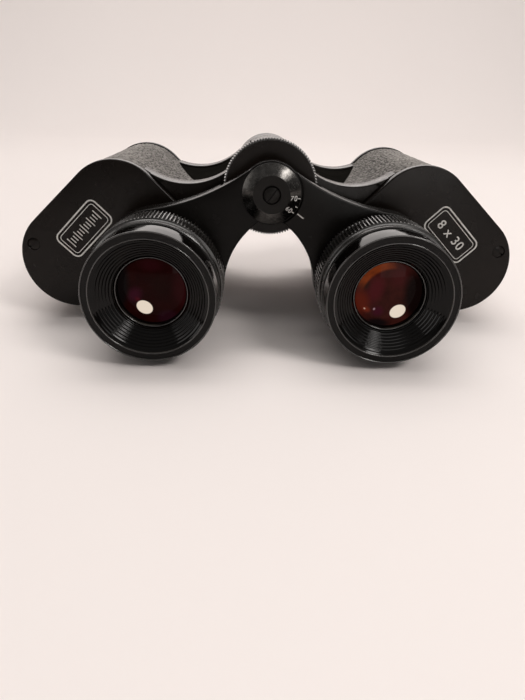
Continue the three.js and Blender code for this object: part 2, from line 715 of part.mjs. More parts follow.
// The axle is a tube with a smaller hole for the front screw at its objective end.
const axleShoulder = webEnd - 6;
const axleScrewHole = SCREW_HEAD_RADIUS + CLEARANCE;

function hingeAxle() {
  return turned([
    [AXLE_BORE, HINGE_START],
    [AXLE_RADIUS, HINGE_START],
    [AXLE_RADIUS, webEnd],
    [axleScrewHole, webEnd],
    [axleScrewHole, axleShoulder],
    [AXLE_BORE, axleShoulder],
  ], SMALL_ROUND);
}

const FRONT_CAP_HEIGHT = 4.5;

function frontCap() {
  const start = webEnd + CLEARANCE;
  const end = start + FRONT_CAP_HEIGHT;
  return turned([
    [axleScrewHole, start],
    [HUB_RADIUS - 1, start],
    [HUB_RADIUS - 1, end - 1.5],
    [HUB_RADIUS - 3, end],
    [SCREW_HEAD_RADIUS + 1.5, end],
    [SCREW_HEAD_RADIUS + 1.5, end - 1.5],
    [axleScrewHole, end - 1.5],
  ]);
}

function frontScrew() {
  const end = webEnd + CLEARANCE + FRONT_CAP_HEIGHT;
  return turned([
    [0, axleShoulder],
    [SCREW_HEAD_RADIUS, axleShoulder],
    [SCREW_HEAD_RADIUS, end - 1.5 + CLEARANCE],
    [SCREW_HEAD_RADIUS + 1.2, end - 1.5 + CLEARANCE],
    [SCREW_HEAD_RADIUS + 1.2, end],
    [0, end],
  ], SMALL_ROUND);
}

// ---- The two sides --------------------------------------------------------------------------

function eyepieceSleeve() {
  const inner = GUIDE_RADIUS + CLEARANCE;
  return tube(inner + SLEEVE_WALL, inner, SLEEVE_FRONT, -CLEARANCE);
}

function eyeLensRing() {
  return tube(EYE_LENS_RADIUS, EYE_LENS_OPENING, tubeFront, eyeLensStart - EYE_LENS_BULGE / 2);
}

// Everything on one side, drawn on the right of the hinge.
function side(name) {
  const group = new THREE.Group();
  const add = (part, geometry, look, place) => group.add(piece(`${name}_${part}`, geometry, look, place));
  add('prism_housing', geometryOf(prismHousing(name)), BLACK_PAINT);
  add('leatherette', geometryOf(leatherette()), LEATHERETTE_BLACK);
  add('eyepiece_cover', geometryOf(eyepieceCover()), BLACK_PAINT);
  add('eyepiece_cover_screw', screw(-0.2, 1), BLACKENED_METAL, [screwAt.x, 0, screwAt.y]);
  add('objective_cover', geometryOf(objectiveCover()), BLACK_PAINT);
  add('objective_cover_screw', screw(farCoverEnd, -1), BLACKENED_METAL, [fold.x, 0, fold.y]);
  add('eyepiece_sleeve', eyepieceSleeve(), BLACKENED_METAL, onEye);
  group.add(prismSet(name));
  add('objective_tube', objectiveTube(), BLACK_PAINT, onObjective);
  add('objective_cell', objectiveCell(), MATT_BLACK, onObjective);
  const lensPlace = [objective.x, lensSeat + CLEARANCE + 1, objective.y];
  add('objective_lens', lens(OBJECTIVE_LENS_RADIUS, OBJECTIVE_LENS_EDGE, 1, 2), CLEAR_GLASS, lensPlace);
  const retainerStart = lensPlace[1] + OBJECTIVE_LENS_EDGE + CLEARANCE;
  const retainer = tube(OBJECTIVE_LENS_RADIUS, OBJECTIVE_LENS_RADIUS - 1.1, retainerStart, retainerStart + 2.5);
  add('objective_lens_retainer', retainer, MATT_BLACK, onObjective);
  add('objective_rim', objectiveRim(), GLOSS_BLACK, onObjective);
  add('strap_lug', geometryOf(strapLug()), BLACKENED_METAL);
  add('bridge_arm', geometryOf(bridgeArm(name)), BLACK_PAINT);
  add('eyepiece_barrel', name === 'left' ? leftBarrel() : rightBarrel(), BLACK_PAINT, onEye);
  if (name === 'right') add('lens_tube', rightLensTube(), MATT_BLACK, onEye);
  add('ribbed_ring', ribbedRing(), GLOSS_BLACK, onEye);
  add('eyecup', eyecup(), GLOSS_BLACK, onEye);
  const eyeLens = lens(EYE_LENS_RADIUS, EYE_LENS_EDGE, EYE_LENS_BULGE, 0);
  add('eye_lens', eyeLens, COATED_LENS, [eye.x, eyeLensStart, eye.y]);
  add('eye_lens_ring', eyeLensRing(), MATT_BLACK, onEye);
  const fieldLensPlace = [eye.x, FIELD_LENS_FRONT, eye.y];
  add('field_lens', lens(FIELD_LENS_RADIUS, FIELD_LENS_THICKNESS, 0, 1.2), CLEAR_GLASS, fieldLensPlace);
  if (name === 'left') group.scale.x = -1;
  return group;
}

function centre() {
  const group = new THREE.Group();
  group.add(piece('hinge_axle', hingeAxle(), BLACKENED_METAL));
  group.add(piece('focus_wheel', focusWheel(), GLOSS_BLACK));
  group.add(piece('focus_spindle', focusSpindle(), BRASS));
  group.add(piece('scale_cap', scaleCap(), BLACK_PAINT));
  group.add(piece('scale_cap_screw', capScrew(), BLACKENED_METAL));
  group.add(piece('front_hinge_cap', frontCap(), BLACK_PAINT));
  group.add(piece('front_hinge_screw', frontScrew(), BLACKENED_METAL));
  return group;
}

const binoculars = new THREE.Group();
binoculars.add(side('left'), side('right'), centre());
binoculars.position.set(0, -(CUP_FRONT + rimEnd) / 2, RIM_RADIUS - objective.y);

const part = new THREE.Group();
part.add(binoculars);

export default part;
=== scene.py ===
"""Looks of a pair of porro-prism binoculars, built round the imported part.

Shapes are worked out in millimetres from the hinge axis: across, along (from the outer face of
the eyepiece-side covers towards the objectives) and up. build() turns them into metres.
"""
import json
import math

import bmesh
import bpy
import numpy as np
from mathutils import Matrix, Vector


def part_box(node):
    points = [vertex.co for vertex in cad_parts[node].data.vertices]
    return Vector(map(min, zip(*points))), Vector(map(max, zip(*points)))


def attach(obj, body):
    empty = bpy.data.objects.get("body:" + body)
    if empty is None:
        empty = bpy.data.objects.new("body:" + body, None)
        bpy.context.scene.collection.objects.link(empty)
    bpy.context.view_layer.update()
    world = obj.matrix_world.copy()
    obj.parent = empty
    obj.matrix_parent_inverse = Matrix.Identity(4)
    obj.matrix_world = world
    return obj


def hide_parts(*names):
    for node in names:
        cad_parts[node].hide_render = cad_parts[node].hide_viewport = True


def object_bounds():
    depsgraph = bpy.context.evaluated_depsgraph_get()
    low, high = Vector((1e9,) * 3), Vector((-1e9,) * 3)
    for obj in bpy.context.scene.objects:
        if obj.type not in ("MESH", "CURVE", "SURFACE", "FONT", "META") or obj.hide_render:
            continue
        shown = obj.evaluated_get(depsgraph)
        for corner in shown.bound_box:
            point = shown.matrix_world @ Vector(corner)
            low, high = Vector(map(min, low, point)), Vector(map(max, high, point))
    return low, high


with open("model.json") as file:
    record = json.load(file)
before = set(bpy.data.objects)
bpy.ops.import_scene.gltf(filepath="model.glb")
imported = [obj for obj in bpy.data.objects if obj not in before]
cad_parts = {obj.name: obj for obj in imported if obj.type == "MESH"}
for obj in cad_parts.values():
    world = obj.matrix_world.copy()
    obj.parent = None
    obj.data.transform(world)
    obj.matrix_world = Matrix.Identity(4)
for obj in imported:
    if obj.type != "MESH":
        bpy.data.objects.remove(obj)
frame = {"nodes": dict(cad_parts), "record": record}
cad_box = [list(corner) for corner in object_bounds()]

# ---- Places and sizes read from the frame ----

MM = 0.001


def middle(node):
    low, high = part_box(node)
    return (low + high) / 2


ORIGIN = Vector((middle("focus_wheel").x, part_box("right_eyepiece_cover")[0].y, middle("focus_wheel").z))


def axis(node):
    """Place of a right-hand node's axis, across and up from the hinge."""
    at = (middle(node) - ORIGIN) / MM
    return Vector((at.x, at.z))


def ends(node):
    """First and last place of a node along the optical axis."""
    low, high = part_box(node)
    return (low.y - ORIGIN.y) / MM, (high.y - ORIGIN.y) / MM


def radius(node):
    low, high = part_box(node)
    return (high.x - low.x) / 2 / MM


HINGE = Vector((0, 0))
EYE = axis("right_eyecup")
FOLD = axis("right_objective_cover_screw")
OBJECTIVE = axis("right_objective_rim")
COVER_SCREW = axis("right_eyepiece_cover_screw")

GAP = 0.3  # between neighbouring pieces
CORNER = 14.5  # round corners of the housing at the eyepiece and the fold
OUTER_CORNER = 15.3  # round the objective
HUB = radius("front_hinge_cap") + 1
SADDLE = 21  # radius of the hollow between the hub and the housing
SADDLE_STEP = 0.7  # the web lies this much below the lug
UNDERCUT = 8
COVER_LIP = 0.4  # the covers stand this far out past the leatherette
LEATHER_DEPTH = 0.9
SKIN = COVER_LIP + LEATHER_DEPTH + GAP
WALL = 2.4
COVER_END = ends("right_eyepiece_cover")[1]
FAR_COVER = ends("right_objective_cover")
HOUSING = (COVER_END + GAP, FAR_COVER[0] - GAP)
HINGE_START = 1
LUG_START = 2.2
LUG_END = 9
KNUCKLE = 12
WEB_END = HINGE_START + 4 * (KNUCKLE + GAP) - GAP
FAR_LIP = 6.5  # raised lip at the far end of the web
ARM_FRONT, ARM_BACK = ends("right_bridge_arm")
ARM_ROOT_BACK = ARM_FRONT + 3.5
ARM_RING = 8.3
ARM_TOP = 60
ARM_ARCH = 23.5
ARM_ARCH_ROOT = 5.2
BOSS = 17.8
BARREL = 13
CLAMP = 14.1
NECK = 15.1
WHEEL = radius("focus_wheel")
RING = radius("right_ribbed_ring")
CUP = radius("right_eyecup")
LENS = radius("right_eye_lens")
TUBE = radius("right_objective_tube")
RIM = radius("right_objective_rim")

SIDE = {"left": -1, "right": 1}
ARC_STEP = math.radians(3)
ROUND = 128  # facets round a large ring
SMALL_ROUND = 48
SMOOTH_ANGLE = math.radians(32)
SAME_PLACE = 1e-3


# ---- Flat outlines ----


def angle_of(vector):
    return math.atan2(vector.y, vector.x)


def around(centre, reach, angle):
    return Vector((centre.x + reach * math.cos(angle), centre.y + reach * math.sin(angle)))


def arc(centre, reach, start, end, step=ARC_STEP):
    """Points anticlockwise from one angle to another."""
    turn = (end - start) % (2 * math.pi)
    count = max(1, math.ceil(turn / step))
    return [around(centre, reach, start + turn * i / count) for i in range(count + 1)]


def circle(centre, reach, facets=ROUND):
    return [around(centre, reach, 2 * math.pi * i / facets) for i in range(facets)]


def tangent_angles(discs):
    """For discs given anticlockwise, the direction in which each one's outline leaves for the next."""
    angles = []
    for i, (at, reach) in enumerate(discs):
        after, next_reach = discs[(i + 1) % len(discs)]
        line = after - at
        angles.append(angle_of(line) - math.acos((reach - next_reach) / line.length))
    return angles


def outline_round(discs, outset=0.0):
    """Tight outline round discs given anticlockwise, grown or shrunk by an outset."""
    angles = tangent_angles(discs)
    points = []
    for i, (at, reach) in enumerate(discs):
        points += arc(at, reach + outset, angles[i - 1], angles[i])
    return points


def fillet(a, reach_a, b, reach_b, reach):
    """Centre of the circle that touches two discs from outside, to the left of the line a to b."""
    line = b - a
    to_a, to_b = reach_a + reach, reach_b + reach
    along = (to_a**2 - to_b**2 + line.length_squared) / (2 * line.length)
    aside = math.sqrt(to_a**2 - along**2)
    unit = line.normalized()
    return a + unit * along + Vector((-unit.y, unit.x)) * aside


# where the leatherette ends on the saddle, as (across, along): at the lug and at the far lip
EDGE_NEAR = Vector((22.3, LUG_END + GAP / 2))
EDGE_FAR = Vector((31.2, WEB_END - FAR_LIP))
CORNERS = [(OBJECTIVE, OUTER_CORNER), (FOLD, CORNER), (EYE, CORNER)]
SADDLE_CENTRE = fillet(HINGE, HUB, FOLD, CORNER, SADDLE)
UNDERCUT_CENTRE = fillet(EYE, CORNER, HINGE, HUB, UNDERCUT)


def web_outline(drop):
    """The web from the hub to the housing, hollow above and below."""
    above, below = SADDLE_CENTRE, UNDERCUT_CENTRE
    top = arc(above, SADDLE + drop, angle_of(HINGE - above), angle_of(FOLD - above))
    bottom = arc(below, UNDERCUT, angle_of(EYE - below), angle_of(HINGE - below))
    return [*bottom[::-1], EYE, FOLD, *top[::-1], HINGE]


def arm_outline():
    """The bridge arm: a boss round the eyepiece, a ring round the hinge and hollow edges between."""
    above = fillet(HINGE, ARM_RING, EYE, BOSS, ARM_TOP)
    below = fillet(EYE, BOSS, HINGE, ARM_ARCH_ROOT, ARM_ARCH)
    span = (below - HINGE).length
    swing = math.acos((span**2 + ARM_RING**2 - ARM_ARCH**2) / (2 * span * ARM_RING))
    leave = angle_of(below - HINGE) + swing  # where the arch crosses the ring
    if around(HINGE, ARM_RING, leave).x < around(HINGE, ARM_RING, leave - 2 * swing).x:
        leave -= 2 * swing
    crossing = around(HINGE, ARM_RING, leave)
    arch = arc(below, ARM_ARCH, angle_of(EYE - below), angle_of(crossing - below))
    boss = arc(EYE, BOSS, angle_of(below - EYE), angle_of(above - EYE))
    top = arc(above, ARM_TOP, angle_of(HINGE - above), angle_of(EYE - above), ARC_STEP / 3)
    ring = arc(HINGE, ARM_RING, angle_of(above - HINGE), leave)
    return [*arch[::-1], *boss[1:], *top[::-1][1:], *ring[1:-1]]


def tidy_loop(points):
    """A closed outline without the points that repeat the one before."""
    return [p for i, p in enumerate(points) if (p - points[i - 1]).length > SAME_PLACE]


def inset(points, distance):
    """A closed anticlockwise outline moved inwards; a negative distance moves it out."""
    moved = []
    for i, point in enumerate(points):
        before = (point - points[i - 1]).normalized()
        after = (points[(i + 1) % len(points)] - point).normalized()
        normal = Vector((before.y, -before.x)) + Vector((after.y, -after.x))
        share = max(normal.length_squared / 2, 0.5)
        moved.append(point - normal * (distance / share))
    return moved


# ---- Solids ----


def loft(body, loops, shut=False):
    """Faces between successive closed loops of vertices; shut joins the last to the first."""
    pairs = list(zip(loops, loops[1:]))
    if shut:
        pairs.append((loops[-1], loops[0]))
    for near, far in pairs:
        for i in range(len(near)):
            body.faces.new((near[i - 1], near[i], far[i], far[i - 1])).smooth = True


def outward(body):
    bmesh.ops.recalc_face_normals(body, faces=body.faces)
    return body


def plate(points, start, end, edge=0.0, holes=(), hole_edge=0.0, steps=4):
    """An outline carried along the optical axis, with rounded edges at both faces."""
    body = bmesh.new()
    caps = {start: [], end: []}
    for loop, bevel, way in [(points, edge, 1)] + [(hole, hole_edge, -1) for hole in holes]:
        loop = tidy_loop(loop)
        rows = []
        turns = [math.pi / 2 * k / steps for k in range(steps + 1)] if bevel else [math.pi / 2]
        for turn in turns:
            rows.append((start + bevel * (1 - math.cos(turn)), bevel * (1 - math.sin(turn))))
        for turn in reversed(turns):
            rows.append((end - bevel * (1 - math.cos(turn)), bevel * (1 - math.sin(turn))))
        loops = []
        for at, inwards in rows:
            flat = inset(loop, inwards * way) if inwards else loop
            loops.append([body.verts.new((p.x, at, p.y)) for p in flat])
        loft(body, loops)
        caps[start].append(loops[0])
        caps[end].append(loops[-1])
    for loops in caps.values():
        edges = [body.edges.get((v[i - 1], v[i])) for v in loops for i in range(len(v))]
        made = bmesh.ops.triangle_fill(body, edges=edges, use_beauty=True)
        for face in made["geom"]:
            if isinstance(face, bmesh.types.BMFace):
                face.smooth = False
    return outward(body)


def rounded(profile, reach, steps=3, shut=True):
    """A profile of (radius, along) pairs with its corners rounded, except on the axis."""
    points = [Vector(p) for p in profile]
    made = []
    for i, point in enumerate(points):
        before, after = points[i - 1], points[(i + 1) % len(points)]
        last = not shut and i in (0, len(points) - 1)
        if point.x < 1e-6 or last:
            made.append(point)
            continue
        to, on = before - point, after - point
        cut_to = min(reach, 0.45 * to.length)
        cut_on = min(reach, 0.45 * on.length)
        a, b = point + to.normalized() * cut_to, point + on.normalized() * cut_on
        for k in range(steps + 1):
            t = k / steps
            made.append(a * (1 - t) ** 2 + point * (2 * t * (1 - t)) + b * t**2)
    return [(p.x, p.y) for p in made]


def turned(profile, centre=HINGE, facets=ROUND, ripple=None, edge=0.0):
    """A body of revolution from a closed profile of (radius, along) pairs."""
    if edge:
        profile = rounded(profile, edge)
    body = bmesh.new()
    loops = []
    for i in range(facets):
        angle = 2 * math.pi * i / facets
        loop = []
        for reach, at in profile:
            reach = ripple(angle, reach, at) if ripple else reach
            place = around(centre, reach, angle)
            loop.append(body.verts.new((place.x, at, place.y)))
        loops.append(loop)
    loft(body, loops, shut=True)
    bmesh.ops.remove_doubles(body, verts=body.verts, dist=1e-5)
    return outward(body)


def disc(centre, reach, start, end, facets=ROUND, edge=0.0):
    return plate(circle(centre, reach, facets), start, end, edge)


def brick(centre, size, turn=0.0):
    """A box given by its middle and its size, turned about the optical axis."""
    body = bmesh.new()
    bmesh.ops.create_cube(body, size=1)
    bmesh.ops.scale(body, vec=size, verts=body.verts)
    bmesh.ops.rotate(body, matrix=Matrix.Rotation(turn, 3, "Y"), verts=body.verts)
    bmesh.ops.translate(body, vec=centre, verts=body.verts)
    return body


def combine(body, tools, operation):
    """Joins or cuts solids with exact booleans."""
    for tool in tools:
        holders = []
        for shape in (body, tool):
            mesh = bpy.data.meshes.new("work")
            shape.to_mesh(mesh)
            shape.free()
            holder = bpy.data.objects.new("work", mesh)
            bpy.context.scene.collection.objects.link(holder)
            holders.append(holder)
        modifier = holders[0].modifiers.new("work", "BOOLEAN")
        modifier.operation = operation
        modifier.solver = "EXACT"
        modifier.object = holders[1]
        bpy.context.view_layer.update()
        depsgraph = bpy.context.evaluated_depsgraph_get()
        result = holders[0].evaluated_get(depsgraph).to_mesh()
        body = bmesh.new()
        body.from_mesh(result)
        for holder in holders:
            mesh = holder.data
            bpy.data.objects.remove(holder)
            bpy.data.meshes.remove(mesh)
    return body


def join(body, *tools):
    return combine(body, tools, "UNION")


def cut(body, *tools):
    return combine(body, tools, "DIFFERENCE")


def from_axis(at, centre=HINGE):
    """Distance of a place in a solid from the line along the optical axis through a centre."""
    return (Vector((at.x, at.z)) - centre).length


BODY_OF = {n: b for b, nodes in frame["record"]["behaviour"]["bodies"].items() for n in nodes}


def build(name, body, material, node=None, slot=None, side=1, ride=None, smooth=SMOOTH_ANGLE,
          second=None):
    """Makes a piece from a solid in millimetres; side -1 mirrors it to the left.

    second is another material and a test of a face's middle that says where it goes.
    """
    if second:
        for face in body.faces:
            face.material_index = int(second[1](face.calc_center_median()))
    for vertex in body.verts:
        across, along, up = vertex.co
        vertex.co = ORIGIN + Vector((across * side, along, up)) * MM
    bmesh.ops.recalc_face_normals(body, faces=body.faces)
    mesh = bpy.data.meshes.new(name)
    body.to_mesh(mesh)
    body.free()
    mesh.set_sharp_from_angle(angle=smooth)
    piece = bpy.data.objects.new(name, mesh)
    bpy.context.scene.collection.objects.link(piece)
    mesh.materials.append(material)
    if second:
        mesh.materials.append(second[0])
    if node:
        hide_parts(node)
    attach(piece, ride or BODY_OF[node])
    return piece


def stand_in(node, ending, slot, body, material, **extras):
    """Builds the piece that replaces a CAD node and is named after it; left-hand ones are mirrored."""
    side = -1 if node.startswith("left_") else 1
    build(f"{node}_{ending}", body, material, node, slot, side, **extras)


# ---- Materials ----


class Nodes:
    """Small helper for node trees: each call adds a node and links its inputs."""

    def __init__(self, name):
        self.material = bpy.data.materials.new(name)
        self.material.use_nodes = True
        self.tree = self.material.node_tree
        self.shader = self.tree.nodes["Principled BSDF"]
        self.place = self.tree.nodes.new("ShaderNodeTexCoord").outputs["Object"]

    def link(self, value, socket):
        if isinstance(value, bpy.types.NodeSocket):
            self.tree.links.new(value, socket)
        else:
            socket.default_value = value

    def add(self, kind, **inputs):
        node = self.tree.nodes.new(f"ShaderNode{kind}")
        for name, value in inputs.items():
            self.link(value, node.inputs[name.replace("_", " ")])
        return node

    def noise(self, scale, detail=4.0, roughness=0.55):
        given = {"Scale": scale, "Detail": detail, "Roughness": roughness}
        return self.add("TexNoise", Vector=self.place, **given).outputs["Fac"]

    def cells(self, scale):
        return self.add("TexVoronoi", Vector=self.place, Scale=scale).outputs["Distance"]

    def span(self, value, low, high, to_low=0.0, to_high=1.0, smooth=False):
        node = self.add("MapRange", Value=value, From_Min=low, From_Max=high, To_Min=to_low,
                        To_Max=to_high)
        node.interpolation_type = "SMOOTHSTEP" if smooth else "LINEAR"
        return node.outputs["Result"]

    def math(self, operation, a, b=0.0):
        node = self.add("Math")
        node.operation = operation
        self.link(a, node.inputs[0])
        self.link(b, node.inputs[1])
        return node.outputs["Value"]

    def blend(self, share, a, b):
        node = self.add("Mix")
        node.data_type = "RGBA"
        for socket, given in zip((0, 6, 7), (share, a, b)):
            if isinstance(given, tuple) and len(given) == 3:
                given = (*given, 1)
            self.link(given, node.inputs[socket])
        return node.outputs[2]

    def bump(self, height, strength, distance, under=None):
        node = self.add("Bump", Height=height, Strength=strength, Distance=distance)
        if under is not None:
            self.link(under, node.inputs["Normal"])
        return node.outputs["Normal"]

    def attribute(self, name):
        node = self.add("Attribute")
        node.attribute_name = name
        return node.outputs["Fac"]

    def apart(self):
        """Object coordinates as three values."""
        node = self.add("SeparateXYZ", Vector=self.place)
        return node.outputs["X"], node.outputs["Y"], node.outputs["Z"]

    def set(self, **values):
        for name, value in values.items():
            socket = self.shader.inputs[name.replace("_", " ")]
            if isinstance(value, tuple) and len(value) == 3:
                value = (*value, 1)
            self.link(value, socket)
        return self.material


def paint(name, dark, light, rough, peel, specular):
    """Stoved black paint: faint cloudiness, fine dusty specks and an orange-peel skin."""
    n = Nodes(name)
    cloud = n.span(n.noise(45, 3), 0.35, 0.68)
    dust_and_shade = n.span(n.noise(2600, 2), 0.70, 0.80)
    base = n.blend(cloud, dark, light)
    base = n.blend(n.math("MULTIPLY", dust_and_shade, 0.35), base, tuple(min(1, 3.2 * c) for c in light))
    roughness = n.math("ADD", n.span(n.noise(160, 4), 0.3, 0.7, rough - 0.05, rough + 0.06),
                       n.math("MULTIPLY", dust_and_shade, 0.15))
    skin = n.bump(n.noise(900, 3), peel, 0.00006)
    skin = n.bump(n.noise(5200, 2), peel * 0.5, 0.00002, skin)
    n.set(Base_Color=base, Roughness=roughness, Normal=skin, Specular_IOR_Level=specular)
    return n.material


def metal(name, dark, light, rough, grain=420):
    """Machined metal with fine scratches and uneven oxide."""
    n = Nodes(name)
    tone = n.span(n.noise(grain, 5), 0.3, 0.7)
    roughness = n.span(n.noise(grain * 3, 4), 0.3, 0.7, rough - 0.08, rough + 0.1)
    skin = n.bump(n.noise(grain * 6, 2), 0.2, 0.00003)
    n.set(Base_Color=n.blend(tone, dark, light), Roughness=roughness, Normal=skin, Metallic=1.0)
    return n.material


def leather():
    """Embossed leatherette: its grain is in the mesh, and finer creases are in the bump. Its colour holds
    painted light: dark creases as painted shade, grey tops as painted sheen, and a darker side towards
    the hinge as painted shade.
    """
    n = Nodes("leatherette")
    height = n.attribute("grain")
    blotch = n.span(n.noise(60, 4), 0.35, 0.65)
    # painted sheen: the grey of the tops stands in for the shine of black leatherette at a low angle
    top = n.blend(blotch, (0.21, 0.194, 0.178), (0.29, 0.270, 0.248))
    # painted shade: the leatherette is darker on its side towards the hinge
    across = n.math("ABSOLUTE", n.math("SUBTRACT", n.apart()[0], ORIGIN.x))
    dust_and_shade = n.span(across, 0.033, 0.046)
    top = n.blend(dust_and_shade, (0.155, 0.143, 0.131), top)
    # painted shade in the creases: where the grain is low the colour is nearly black
    base = n.blend(n.span(height, 0.15, 0.8), (0.018, 0.016, 0.014), top)
    pore = n.cells(4200)
    skin = n.bump(pore, 0.25, 0.00005)
    skin = n.bump(n.noise(2400, 4), 0.35, 0.00006, skin)
    roughness = n.span(height, 0.0, 1.0, 0.95, 0.62)
    n.set(Base_Color=base, Roughness=roughness, Normal=skin, Specular_IOR_Level=0.25)
    return n.material


def clear_glass():
    n = Nodes("lens_glass")
    smear = n.span(n.noise(300, 3), 0.45, 0.75, 0.0, 0.05)
    n.set(Base_Color=(0.92, 0.96, 0.95), Roughness=smear, Transmission_Weight=1.0, IOR=1.52)
    return n.material


def objective_glass():
    """Front lens: a dark interior behind a bluish-violet coating."""
    n = Nodes("objective_glass")
    smear = n.span(n.noise(220, 3), 0.45, 0.8, 0.02, 0.09)
    tint = n.blend(n.noise(20, 2), (0.012, 0.014, 0.035), (0.03, 0.012, 0.045))
    n.set(Base_Color=tint, Roughness=smear, Specular_IOR_Level=0.5, Coat_Weight=0.6,
          Coat_Roughness=0.03)
    n.shader.inputs["Specular Tint"].default_value = (0.55, 0.5, 1, 1)
    return n.material


# name, darkest and lightest tone and roughness, and for a paint its orange peel and specular level
paint_black = paint("black_paint", (0.0052, 0.0036, 0.0027), (0.0086, 0.0062, 0.0048), 0.24, 0.22, 0.16)
paint_hub = paint("hub_paint", (0.0050, 0.0042, 0.0036), (0.0085, 0.0072, 0.0062), 0.34, 0.3, 0.14)
paint_ring = paint("ring_paint", (0.0105, 0.0094, 0.0084), (0.018, 0.0162, 0.0146), 0.27, 0.15, 0.7)
gloss_black = paint("gloss_black", (0.0011, 0.0008, 0.0007), (0.0018, 0.0013, 0.0011), 0.09, 0.05, 0.17)
matt_black = paint("matt_black", (0.006, 0.0057, 0.0055), (0.011, 0.0104, 0.0100), 0.55, 0.5, 0.3)
web_black = paint("web_black", (0.0058, 0.0054, 0.0046), (0.0100, 0.0092, 0.0080), 0.95, 0.6, 0.0)
arm_black = paint("arm_black", (0.0032, 0.0027, 0.0023), (0.0054, 0.0046, 0.0040), 0.24, 0.22, 0.10)
turned_black = metal("turned_black", (0.040, 0.038, 0.036), (0.085, 0.082, 0.078), 0.22, 900)
# a lighter copy of the gloss black for the beads: painted highlight lines
gloss_with_painted_highlight = paint("gloss_with_painted_highlight", (0.0080, 0.0072, 0.0066), (0.013, 0.0118, 0.0108), 0.12, 0.05, 0.85)
black_steel = metal("blackened_steel", (0.035, 0.033, 0.032), (0.10, 0.095, 0.09), 0.36)
brass = metal("brass", (0.42, 0.29, 0.11), (0.62, 0.46, 0.20), 0.34)
spring_steel = metal("spring_steel", (0.30, 0.30, 0.31), (0.48, 0.48, 0.49), 0.34)
leatherette_look = leather()
lens_glass = clear_glass()
front_glass = objective_glass()


def white_fill():
    """White paint in the engraved marks, slightly uneven."""
    n = Nodes("marking_white")
    worn = n.span(n.noise(900, 4), 0.3, 0.75)
    n.set(Base_Color=n.blend(worn, (0.72, 0.71, 0.68), (0.46, 0.45, 0.43)), Roughness=0.6)
    n.set(Normal=n.bump(n.noise(3000, 3), 0.3, 0.00003))
    return n.material


marking = white_fill()


def lens_with_painted_light(name, body_tone, patches, spot_at, arc_tone=None):
    """Eye lens with painted light: a dark interior seen through a red coating, with its light, shade and
    glints painted into the colour, and the small bright exit pupil as a painted disc; the lens glows with
    these tones.

    patches are (place, colour, near, far, squash, tilt, weight): soft ovals of painted light, shade and
    glints.
    arc_tone is (place, colour, inner_at, inner): a painted crescent of light near a place, outside a
    circle.
    """
    side = SIDE[name]
    n = Nodes(f"coated_lens_{name}")
    x, _, z = n.apart()
    at = (ORIGIN.x + side * EYE.x * MM, ORIGIN.z + EYE.y * MM)

    def falloff(place, near, far, squash=1.0, tilt=0.0):
        """1 within near millimetres of a place on the lens, 0 beyond far."""
        right = n.math("SUBTRACT", x, at[0] + place[0] * MM)
        above = n.math("SUBTRACT", z, at[1] + place[1] * MM)
        c, s = math.cos(tilt), math.sin(tilt)
        u = n.math("ADD", n.math("MULTIPLY", right, c), n.math("MULTIPLY", above, s))
        v = n.math("SUBTRACT", n.math("MULTIPLY", above, c), n.math("MULTIPLY", right, s))
        v = n.math("MULTIPLY", v, squash)
        apart = n.math("SQRT", n.math("ADD", n.math("MULTIPLY", u, u), n.math("MULTIPLY", v, v)))
        return n.span(apart, far * MM, near * MM, smooth=True)

    wisp = n.span(n.noise(420, 4, 0.6), 0.35, 0.70)
    tone = n.blend(wisp, body_tone, tuple(0.62 * c for c in body_tone))
    for place, colour, near, far, squash, tilt, weight in patches:
        share = n.math("MULTIPLY", falloff(place, near, far, squash, tilt), weight)
        tone = n.blend(share, tone, colour)
    if arc_tone:
        place, colour, inner_at, inner = arc_tone
        edge = n.math("SUBTRACT", 1.0, falloff(inner_at, inner - 0.3, inner + 0.5))
        edge = n.math("MULTIPLY", edge, n.span(wisp, 0.0, 1.0, 1.0, 0.55))
        tone = n.blend(n.math("MULTIPLY", edge, falloff(place, 3.0, 7.0)), tone, colour)
    # painted exit pupil: a small pale disc that glows
    pupil = falloff(spot_at, near=2.05, far=2.3, squash=1.16, tilt=side * 0.55)
    colour = n.blend(pupil, tone, (0.84, 0.72, 0.59))
    strength = n.span(pupil, 0.0, 1.0, 0.55, 0.85)
    # the lens glows with its painted tones; its base colour is near black, lighter under the painted
    # pupil
    n.set(Base_Color=n.blend(pupil, (0.0015, 0.0006, 0.0008), (0.1, 0.09, 0.08)), Roughness=0.04,
          Emission_Color=colour, Emission_Strength=strength, Specular_IOR_Level=0.03)
    return n.material


# ---- Housing and covers ----

HOUSING_EDGE = 0.35
SHELF = 3  # the wall between the two prisms
WINDOW = 8.9  # its openings for the light
AXLE_BORE = 5.3
SINK = 1.82  # radius of the bore for a sunk screw's head
SHANK = 1.4
SINK_DEPTH = 1.4
SPIGOT = 13.6  # the objective tube's neck, inside the far cover


def knuckle(index, room=0.0, edge=0.0):
    """One knuckle of the hinge or, with some room, the space that it takes in the other housing."""
    start = HINGE_START + index * (KNUCKLE + GAP)
    return disc(HINGE, HUB + room, start - room, start + KNUCKLE + room, edge=edge)


